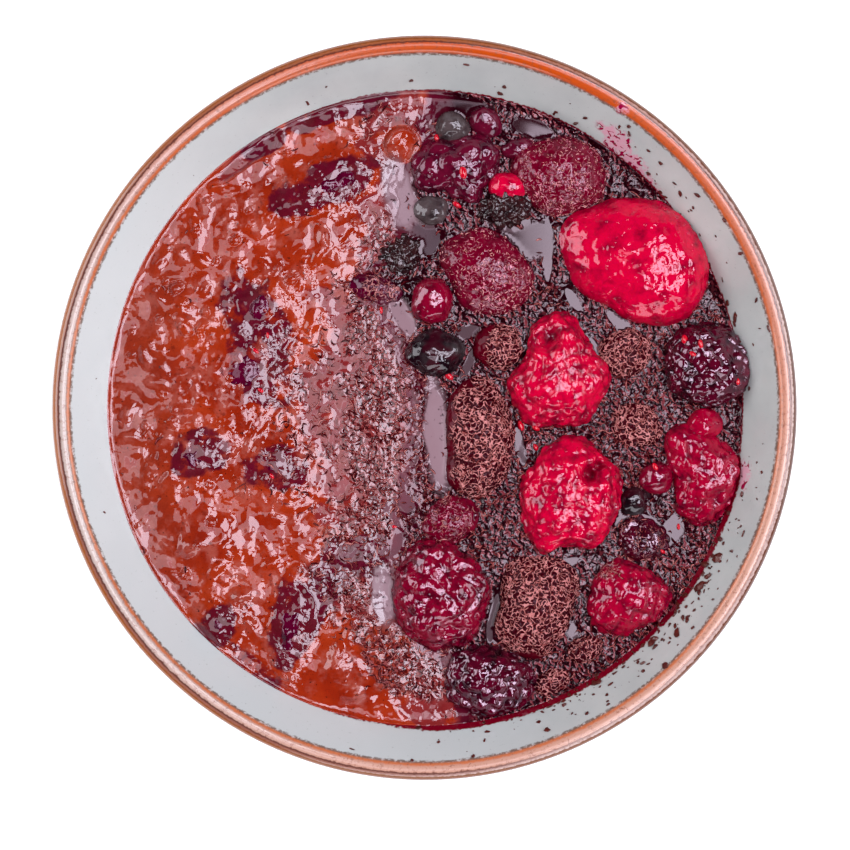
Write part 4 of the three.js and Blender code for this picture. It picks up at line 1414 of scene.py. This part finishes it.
def make_berry(berry, level, materials):
    """One berry as its own piece over its solid."""
    name = berry["name"]
    points, faces, seam = berry_shape(berry, level)
    if name == "raspberry_torn":
        points, faces, seam = with_lobe(points, faces, seam, level)
    points = keep_in_bowl(points)
    look = look_of(berry)
    piece = mesh_piece(f"{name}_fruit", points, faces, materials[look], name)
    mark(piece, "seam", seam)
    # Painted shade on the lower sides, near the syrup, and inside the deep dents
    side = smooth_step(0.35 * berry["rise"], -1.5, points[:, 2] - level)
    mark(piece, "side", np.maximum(side, shaded_hollows(points, berry)))
    cover = np.full(len(points), LOOKS[look]["cover"])
    if name in COVERS:
        cover = cover_patches(name, points[:, 0], points[:, 1])
    mark(piece, "cover", cover)
    crumpled = CRUMPLED_BY_NAME.get(name, KINDS[berry["kind"]]["crumpled"])
    mark(piece, "crumpled", np.full(len(points), crumpled))
    return piece


def make_berries():
    materials = {look: fruit_material(look) for look in LOOKS}
    in_syrup = [make_berry(place(*row), SYRUP_LEVEL, materials) for row in BERRIES]
    sunk = [make_berry(place(*row), PUDDING_LEVEL, materials) for row in SUNK_PIECES]
    return in_syrup + sunk


LOBE = place("torn_lobe", "currant", (59.9, -3.4), (7.4, 7, 7), 0, 3.6)


def with_lobe(points, faces, seam, level):
    """Adds the torn raspberry's upper lobe."""
    lobe_points, lobe_faces, lobe_seam = berry_shape(LOBE, level)
    return (
        np.vstack([points, lobe_points]),
        np.vstack([faces, lobe_faces + len(points)]),
        np.concatenate([seam, lobe_seam]),
    )


def keep_in_bowl(points):
    """Presses a berry that leans on the wall flat against the glaze."""
    radius = np.hypot(points[:, 0], points[:, 1])
    limit = inside_radius(points[:, 2]) - GLAZE_GAP
    share = np.where(radius > limit, limit / np.maximum(radius, 1e-6), 1)
    return points * np.column_stack([share, share, np.ones(len(points))])


# The syrup's surface round the berries

MENISCUS_RISE = 0.1
MENISCUS_REACH = 0.32

# A berry that stands out by less than this raises nothing
STANDS_OUT = 0.05

# The distance and the height that stand for no berry
FAR_AWAY = 50.0
NO_BERRY = -100.0


def mesh_points(mesh):
    """A mesh's points in metres."""
    co = np.empty(len(mesh.vertices) * 3, np.float32)
    mesh.vertices.foreach_get("co", co)
    return co.reshape(-1, 3)


def berry_tops(x, y, pieces):
    """The height of the berries straight above or below each point, or NO_BERRY."""
    top = np.full(len(x), NO_BERRY)
    for piece in pieces:
        co = mesh_points(piece.data) / MM
        low = co.min(axis=0)
        high = co.max(axis=0)
        inside = (x > low[0]) & (x < high[0]) & (y > low[1]) & (y < high[1])
        tree = BVHTree.FromObject(piece, bpy.context.evaluated_depsgraph_get())
        for index in np.nonzero(inside)[0]:
            above = Vector((x[index] * MM, y[index] * MM, 0.1))
            hit = tree.ray_cast(above, Vector((0, 0, -1)))[0]
            if hit is not None:
                top[index] = max(top[index], hit.z / MM)
    return top


def with_meniscus(x, y, heights, tops):
    """Raises the liquid in a narrow band round each berry that stands out of it."""
    emerged = tops > heights + STANDS_OUT
    tree = KDTree(int(emerged.sum()) or 1)
    for number, index in enumerate(np.nonzero(emerged)[0]):
        tree.insert((x[index], y[index], 0), number)
    tree.balance()
    distance = np.where(emerged, 0, FAR_AWAY)
    for index in np.nonzero(~emerged)[0]:
        away = tree.find((x[index], y[index], 0))[2]
        if away is not None:
            distance[index] = away
    return heights + MENISCUS_RISE * np.exp(-distance / MENISCUS_REACH)


def sheet_normals(sides):
    """Normals of the pudding's and the syrup's sheets, taken over both so that light runs over the join."""
    grids = [points.reshape(SHEET_ROWS, -1, 3) for points in sides]
    whole = np.concatenate([grids[0], grids[1][:, 1:]], axis=1)
    normal = np.cross(np.gradient(whole, axis=1), np.gradient(whole, axis=0))
    length = np.linalg.norm(normal, axis=2, keepdims=True)
    normal = np.where(length > 1e-9, normal / np.maximum(length, 1e-9), [0, 0, 1])
    split = grids[0].shape[1]
    return normal[:, :split].reshape(-1, 3), normal[:, split - 1:].reshape(-1, 3)


# The two blocks of food: columns of their sheet, piece, node, material, and the material's gloss and tint
FOOD_BLOCKS = {
    "pudding": (PUDDING_COLUMNS, "rice_pudding", "pudding", "chocolate_pudding", 0.5, WET_TINT),
    "syrup": (SYRUP_COLUMNS, "syrup_pool", "berry_syrup", "berry_syrup", 0.36, SYRUP_TINT),
}


def make_food(berries):
    """The pudding and the syrup, with one height field and one look where they meet."""
    sunk = [piece for piece in berries if piece.name.startswith("pudding_berry")]
    made = {}
    sheets = []
    for side, (columns, name, node, slot, gloss, tint) in FOOD_BLOCKS.items():
        x, y = sheet_places(side, columns)
        heights, marks = food_field(x, y)
        tops = np.where(berry_tops(x, y, sunk) > NO_BERRY, NO_BERRY, berry_tops(x, y, berries))
        heights = with_meniscus(x, y, heights, tops)
        sheet = np.column_stack([x, y, heights])
        piece = block_mesh(side, sheet, columns, name, food_material(slot, gloss, tint), node)
        for key, values in marks.items():
            mark(piece, key, pad(values, len(piece.data.vertices)))
        made[side] = piece
        sheets.append(sheet)
    for piece, sheet in zip(made.values(), sheet_normals(sheets)):
        below = np.zeros((len(piece.data.vertices) - len(sheet), 3))
        piece.data.normals_split_custom_set_from_vertices(np.vstack([sheet, below]))
    pudding_base(made["pudding"].data.materials[0])
    return made


def pudding_base(material):
    """The pudding under the pool's floor, down to the bowl's inside floor."""
    heights = np.linspace(INSIDE_FLOOR + BASE_OVER_FLOOR, POOL_FLOOR - BASE_UNDER_POOL, BASE_STEPS)
    radius = np.concatenate([[AXIS_HOLE], inside_radius(heights) - BASE_GAP, [AXIS_HOLE]])
    profile = np.column_stack([radius, np.concatenate([heights[:1], heights, heights[-1:]])])
    points = turned_points(profile, BASE_SIDES)
    faces = grid_faces(len(profile), BASE_SIDES, closed=True)
    piece = mesh_piece("pudding_below", points, faces, material, "pudding")
    close_ends(piece)


# Grated chocolate

# The chocolate's colour by tone, from the dark sides of a flake to its pale ridge, whose paleness is partly
# painted highlight. The pink top, which only the dashes on strawberries reach, is a painted glint
CHOCOLATE_COLOURS = [
    (0.0, (40, 0, 6)), (0.14, (66, 4, 12)), (0.34, (136, 62, 62)), (0.62, (186, 128, 124)),
    (0.9, (222, 150, 164)),
]

# A flake's sections: place along it from -1 to 1 and size, 0 at the tips. The others are triangles.
FLAKE_SECTIONS = [(-1, 0), (-0.55, 0.85), (0.05, 1), (0.6, 0.8), (1, 0)]
FLAKE_TIPS = [(0, 2, 1), (0, 3, 2), (0, 1, 3), (10, 7, 8), (10, 8, 9), (10, 9, 7)]

# How many flakes are tried on each block of food, and the least share of them that is kept anywhere
FLAKES_TRIED = {"syrup": 9500, "pudding": 11500}
LEAST_KEPT = {"syrup": 0.03, "pudding": 0.004}

# How many flakes and short dashes are tried on each square millimetre of a berry seen from above. The dashes
# are pale pink flakes that stand for painted glints
FLAKES_PER_MM2 = 1.3
DASHES_PER_MM2 = 2.4
DASHED_PIECES = ("strawberry_left_fruit", "strawberry_back_fruit")


def chocolate_material():
    g = Graph("grated_chocolate")
    tone = g.plus(g.attribute("tone"), g.times(g.plus(g.noise(0.8, 2.0), -0.5), 0.2))
    g.surface(
        Base_Color=g.ramp(tone, CHOCOLATE_COLOURS),
        Roughness=0.15,
        Specular_IOR_Level=0.2,
        Normal=g.bump(g.noise(0.3, 2.0), 0.05, 0.5),
    )
    return g.material


def flakes(name, spots, normals, lengths, tones, material, slender=1.0, curl=0.85):
    """Curled slivers that lie on a surface, each a thin tube with a pale ridge on top, partly painted
    highlight, and dark sides, partly painted shade.
    """
    count = len(spots)
    draw = np.random.default_rng(len(name) * 97 + count)
    along = unit_rows(np.cross(normals, draw.normal(size=(count, 3))))
    along = unit_rows(along + normals * draw.normal(0, 0.22, (count, 1)))
    beside = unit_rows(np.cross(normals, along))
    up = np.cross(along, beside)
    width = slender * draw.uniform(0.36, 0.6, count) * np.minimum(1, lengths)
    height = width * draw.uniform(0.4, 0.7, count)
    bend = draw.normal(0, curl, count)
    lift = draw.uniform(0.0, 0.5, count) * height
    points = []
    pale = []
    for share, size in FLAKE_SECTIONS:
        bent = beside * (bend * share ** 2 * lengths / 2)[:, None]
        middle = spots + along * (share * lengths / 2)[:, None] + bent
        middle = middle + up * lift[:, None]
        if size == 0:
            points.append(middle)
            pale.append(0.3)
            continue
        # The ridge takes the flake's full tone as painted highlight and the sides none as painted shade
        for side, top in ((-0.5, -0.4), (0.5, -0.4), (draw.uniform(-0.2, 0.2), 0.6)):
            outward = beside * (side * size * width)[:, None]
            points.append(middle + outward + up * (top * size * height)[:, None])
            pale.append(1.0 if top > 0 else 0.0)
    pattern = list(FLAKE_TIPS)
    for ring in (1, 4):
        for corner in range(3):
            a = ring + corner
            b = ring + (corner + 1) % 3
            pattern += [(a, b, b + 3), (a, b + 3, a + 3)]
    stacked = np.stack(points, axis=1).reshape(-1, 3)
    piece = mesh_piece(name, stacked, repeated(pattern, count, len(points)), material, smooth=False)
    mark(piece, "tone", (tones[:, None] * np.array(pale)).ravel())


def scatter_on(piece, count, density, seed):
    """Random places on a piece's upper faces, kept by a density from 0 to 1."""
    draw = np.random.default_rng(seed)
    mesh = piece.data
    mesh.calc_loop_triangles()
    triangles = np.empty(len(mesh.loop_triangles) * 3, np.int32)
    mesh.loop_triangles.foreach_get("vertices", triangles)
    triangles = triangles.reshape(-1, 3)
    co = mesh_points(mesh).astype(float) / MM
    a, b, c = (co[triangles[:, k]] for k in range(3))
    normal = np.cross(b - a, c - a)
    area = np.linalg.norm(normal, axis=1)
    weight = np.where(normal[:, 2] > 0.15 * area, area, 0)
    chosen = draw.choice(len(triangles), count, p=weight / weight.sum())
    u, v = draw.uniform(size=(2, count, 1))
    over = u + v > 1
    u = np.where(over, 1 - u, u)
    v = np.where(over, 1 - v, v)
    spots = a[chosen] + u * (b - a)[chosen] + v * (c - a)[chosen]
    normals = normal[chosen] / area[chosen][:, None]
    kept = draw.uniform(size=count) < density(spots)
    return spots[kept], normals[kept]


def chocolate_on_food(side, piece, material):
    """Grated chocolate on the syrup or the pudding, in clumps."""

    def density(spots):
        x, y = spots[:, 0], spots[:, 1]
        thick = grated_patches(x, y) * uncovered(x, y)
        clump = 0.5 + 0.5 * noise(spots, 2.2, 83)
        return np.clip(thick * (0.25 + 0.8 * clump), LEAST_KEPT[side], 0.75)

    spots, normals = scatter_on(piece, FLAKES_TRIED[side], density, 91)
    visible = spots[:, 2] > SYRUP_LEVEL - 0.4
    spots, normals = spots[visible], normals[visible]
    draw = np.random.default_rng(17)
    lengths = draw.gamma(5.5, 0.28, len(spots)).clip(0.6, 3.2)
    tones = draw.uniform(0.05, 0.7, len(spots))
    flakes(f"chocolate_on_{side}", spots, normals, lengths, tones, material)


def covered_spots(piece, per_area):
    """Places for chocolate on one berry, thicker where its cover is."""
    name = piece.name.replace("_fruit", "")

    def density(spots):
        amount = cover_patches(name, spots[:, 0], spots[:, 1]) if name in COVERS else 0.95
        clump = 0.5 + 0.5 * noise(spots, 1.8, 85)
        return np.clip(amount * (0.4 + 0.8 * clump), 0, 1) * (spots[:, 2] > SYRUP_LEVEL + 0.1)

    size = piece.dimensions
    count = int(per_area * size.x * size.y / MM ** 2)
    return scatter_on(piece, count, density, len(name))


def is_covered(piece):
    cover = np.empty(len(piece.data.vertices), np.float32)
    piece.data.attributes["cover"].data.foreach_get("value", cover)
    return cover.max() >= 0.25


def make_chocolate(berries, food):
    """Grated chocolate on the film, the syrup, the pudding and the covered berries."""
    material = chocolate_material()
    for side in FLAKES_TRIED:
        chocolate_on_food(side, food[side], material)
    flaked = []
    dashed = []
    for piece in filter(is_covered, berries):
        if piece.name in DASHED_PIECES:
            dashed.append(covered_spots(piece, DASHES_PER_MM2))
        else:
            flaked.append(covered_spots(piece, FLAKES_PER_MM2))
    draw = np.random.default_rng(19)
    spots, normals = (np.vstack(part) for part in zip(*flaked))
    lengths = draw.gamma(8, 0.16, len(spots)).clip(0.5, 2.2)
    tones = draw.uniform(0.3, 0.75, len(spots))
    flakes("chocolate_on_berries", spots, normals, lengths, tones, material, slender=0.8)
    spots, normals = (np.vstack(part) for part in zip(*dashed))
    lengths = draw.uniform(0.4, 1.1, len(spots))
    tones = draw.uniform(0.6, 1.0, len(spots))
    flakes("chocolate_on_strawberries", spots, normals, lengths, tones, material, slender=0.7, curl=0.3)


# Crumbs on the bowl's wall: angle in degrees, radius in the photograph's picture points, size in millimetres
WALL_CRUMBS = [
    (313, 353, 1.2), (298, 346, 0.8), (302, 346, 0.7), (278, 352, 0.7), (290, 334, 0.8), (281, 330, 0.7),
    (304, 333, 0.8), (310, 332, 0.9), (314, 332, 0.9), (315, 326, 1.9), (321, 338, 0.8), (319, 332, 0.8),
    (327, 328, 1.8), (333, 329, 1.8), (335, 339, 0.9), (13, 353, 0.9), (18, 349, 0.8), (26, 352, 0.9),
    (32, 354, 0.9), (38, 346, 0.8), (40, 334, 0.8), (42, 336, 0.8), (46, 340, 0.8), (49, 341, 0.7),
    (54, 348, 0.8), (61, 332, 0.8), (76, 331, 0.7), (66, 324, 0.8), (62, 322, 0.9), (83, 346, 1.0),
    (107, 336, 0.6), (111, 327, 0.7), (258, 349, 0.7), (268, 353, 0.7),
]

# Crumbs at random places besides: most at two angles, each with a spread in degrees, and the rest anywhere
RANDOM_CRUMBS = 230
CRUMB_ANGLES = ((316, 20), (38, 22))
CRUMB_SHARES = (0.82, 0.16, 0.02)

# The least, most usual and greatest picture radius of a random crumb
CRUMB_RADII = (317, 320, 352)

# The size of a picture point at the rim, and the camera's height over it
PICTURE_POINT = 0.2086
CAMERA_ABOVE_RIM = 450


def on_wall(angle, picture_radius, lift=0.1):
    """The place on the bowl's wall that shows at this angle and distance from the picture of its centre."""
    z = INSIDE_WALL[:, 1]
    seen = INSIDE_WALL[:, 0] * CAMERA_ABOVE_RIM / (CAMERA_ABOVE_RIM + BOWL_HEIGHT - z) / PICTURE_POINT
    height = np.interp(picture_radius, seen, z)
    radius = inside_radius(height) - lift
    turn = math.radians(angle)
    return np.array([radius * math.cos(turn), radius * math.sin(turn), height + lift * WALL_FLARE])


def make_wall_crumbs():
    """Chocolate crumbs on the wall, most of them near the berries at the front right."""
    draw = np.random.default_rng(29)
    rows = list(WALL_CRUMBS)
    for _ in range(RANDOM_CRUMBS):
        angles = [draw.normal(*middle_and_spread) for middle_and_spread in CRUMB_ANGLES]
        angles.append(draw.uniform(0, 360))
        angle = draw.choice(angles, p=CRUMB_SHARES)
        rows.append((angle, draw.triangular(*CRUMB_RADII), draw.gamma(2.4, 0.16) + 0.14))
    unit, faces = BALLS[CRUMB_BALL]
    points = []
    for number, (angle, picture_radius, size) in enumerate(rows):
        shape = unit * (1 + 0.6 * noise(unit * 2 + number * 7.3, 1.1, 31)[:, None])
        stretch = np.array([draw.uniform(0.8, 1.8), draw.uniform(0.5, 1.2), draw.uniform(0.25, 0.45)])
        shape = turned_about_z(shape * stretch * size * 0.62, draw.uniform(0, 360))
        turn = math.radians(angle)
        inward = np.array([-math.cos(turn), -math.sin(turn), WALL_FLARE]) / SLOPE_LENGTH
        level = np.array([-math.sin(turn), math.cos(turn), 0])
        upward = np.cross(inward, level)
        spot = on_wall(angle, picture_radius, 0.12 * size)
        points.append(spot + shape[:, :1] * level + shape[:, 1:2] * upward + shape[:, 2:] * inward)
    g = Graph("wall_crumbs")
    colour = g.between(g.noise(1.5, 2.0), (30, 4, 6), (96, 30, 20))
    g.surface(Base_Color=colour, Roughness=0.35, Normal=g.bump(g.noise(0.4, 2.0), 0.08, 0.6))
    faces = repeated(faces, len(points), len(unit))
    piece = mesh_piece("wall_crumbs", np.vstack(points), faces, g.material, smooth=False)


# Loose drupelets, bright red in the dark syrup: place and size
RED_SEEDS = [
    (-36.0, 12.2, 1.3), (-35.0, 3.8, 1.4), (-32.6, -14.5, 1.3), (-33.5, 15.5, 1.1), (8.2, 50.0, 2.6),
    (6.9, 43.6, 1.7), (2.6, 57.8, 1.7), (20.6, -3.8, 1.9), (23.8, -4.2, 1.8), (23.8, -8.4, 1.6),
    (5.2, 6.9, 2.1), (-6.5, -25.4, 1.1), (-9.3, 21.0, 1.2), (55.2, 14.5, 2.0), (58.2, 13.5, 1.6),
    (56.7, 11.4, 1.5), (66.4, 5.6, 1.4), (49.2, -12.6, 1.8), (50.8, -30.6, 1.2), (54.4, -25.4, 1.2),
]


def make_red_seeds(berries, food):
    """Each loose drupelet lies on the berry or the food under it."""
    draw = np.random.default_rng(37)
    unit, faces = BALLS[SEED_BALL]
    x, y, sizes = np.array(RED_SEEDS).T
    tops = berry_tops(x, y, [*berries, *food.values()])
    points = []
    for number, (size, top) in enumerate(zip(sizes, tops)):
        shape = unit * (1 + 0.12 * noise(unit + number * 5.1, 0.9, 41)[:, None])
        shape = shape * np.array([size * draw.uniform(0.5, 0.66), size * 0.32, size * 0.34])
        shape = turned_about_z(shape, draw.uniform(90, 170))
        points.append(shape + [x[number], y[number], top + size * 0.04])
    g = Graph("loose_drupelets")
    colour = g.between(g.noise(1.2, 2.0), (150, 0, 26), (198, 6, 34))
    g.surface(Base_Color=colour, Roughness=0.14, Normal=g.bump(g.noise(0.8, 2.0), 0.05, 0.4))
    faces = repeated(faces, len(points), len(unit))
    piece = mesh_piece("loose_drupelets", np.vstack(points), faces, g.material)


# The studio, in metres

TABLE_REACH = 9
TABLE_GLOW = 0.4
ROOM_COLOUR = (0.97, 0.98, 1.0, 1)
ROOM_LIGHT = 0.03
WHITE = (1.0, 1.0, 1.0)
WINDOW_TINT = (0.95, 0.93, 1.0)

# Panels this far over the rim: centre from above, size, the place they aim at, radiance and tint
PANEL_HEIGHT = 1.2
OVERHEAD_PANELS = {
    "pane_middle": ((0.32, 0.0), (0.48, 0.5), (0.32, 0.0), 12, WINDOW_TINT),
    "pane_back": ((0.36, 0.56), (0.5, 0.34), (0.36, 0.56), 12, WINDOW_TINT),
    "pane_front": ((0.38, -0.52), (0.38, 0.3), (0.38, -0.52), 12, WINDOW_TINT),
    "pane_right": ((0.86, 0.1), (0.34, 0.8), (0.86, 0.1), 12, WINDOW_TINT),
    "soft_wall": ((-0.21, 0.03), (0.34, 0.4), (-0.21, 0.03), 3.0, WHITE),
    "soft_middle": ((0.01, -0.03), (0.16, 0.3), (0.01, 0.0), 3.0, (1.0, 0.86, 0.94)),
    "soft_back": ((-0.03, 0.18), (0.1, 0.16), (-0.03, 0.18), 3.4, (0.94, 0.9, 1.0)),
}

# Panels at the sides, which aim at the rim's centre: centre, size and radiance
SIDE_PANELS = {
    "side_window": ((2.2, 0.2, 0.7), (1.6, 0.9), 4.2),
    "side_wall": ((-2.0, 0.5, 0.9), (2.0, 1.2), 5.2),
    "front_wall": ((0.2, -2.0, 0.7), (2.0, 0.8), 4.0),
}

# The photograph's camera, straight over the bowl but for a few millimetres
CAMERA_PLACE = (0.0001, -0.0036)
CAMERA_LENS = 91.4


def panel(name, centre, size, aim, radiance, tint):
    """A soft area light that shines towards aim."""
    data = bpy.data.lights.new(name, "AREA")
    data.shape = "RECTANGLE"
    data.size, data.size_y = size
    data.energy = radiance * size[0] * size[1] * math.pi
    data.color = tint
    lamp = into_scene(name, data)
    lamp.location = centre
    lamp.rotation_euler = (Vector(aim) - Vector(centre)).to_track_quat("-Z", "Y").to_euler()


def make_floor():
    """A white table that glows, so that almost no shadow falls on it."""
    g = Graph("pale_floor")
    white = g.mix(g.noise(60, 2.0), (0.86, 0.86, 0.86, 1), (0.9, 0.9, 0.9, 1))
    g.surface(Base_Color=white, Roughness=0.8, Emission_Color=white, Emission_Strength=TABLE_GLOW)
    mesh = bpy.data.meshes.new("floor")
    corners = [(x * TABLE_REACH, y * TABLE_REACH, 0) for x, y in ((-1, -1), (1, -1), (1, 1), (-1, 1))]
    mesh.from_pydata(corners, [], [(0, 1, 2, 3)])
    mesh.materials.append(g.material)
    floor = into_scene("floor", mesh)


def make_lights():
    rim = BOWL_HEIGHT * MM
    for name, (centre, size, aim, radiance, tint) in OVERHEAD_PANELS.items():
        panel(name, (*centre, rim + PANEL_HEIGHT), size, (*aim, 0), radiance, tint)
    for name, (centre, size, radiance) in SIDE_PANELS.items():
        panel(name, centre, size, (0, 0, rim), radiance, WHITE)
    world = bpy.data.worlds.new("room")
    world.use_nodes = True
    background = world.node_tree.nodes["Background"]
    background.inputs["Color"].default_value = ROOM_COLOUR
    background.inputs["Strength"].default_value = ROOM_LIGHT
    bpy.context.scene.world = world
    bpy.context.scene.view_settings.view_transform = "Standard"
    bpy.context.scene.view_settings.look = "None"


def make_camera():
    data = bpy.data.cameras.new("camera")
    data.sensor_width = 36
    data.lens = CAMERA_LENS
    data.clip_start = 0.01
    camera = into_scene("camera", data)
    camera.location = (*CAMERA_PLACE, (BOWL_HEIGHT + CAMERA_ABOVE_RIM) * MM)
    bpy.context.scene.camera = camera


make_bowl()
berries = make_berries()
food = make_food(berries)
make_chocolate(berries, food)
make_wall_crumbs()
make_red_seeds(berries, food)
make_floor()
make_lights()
make_camera()
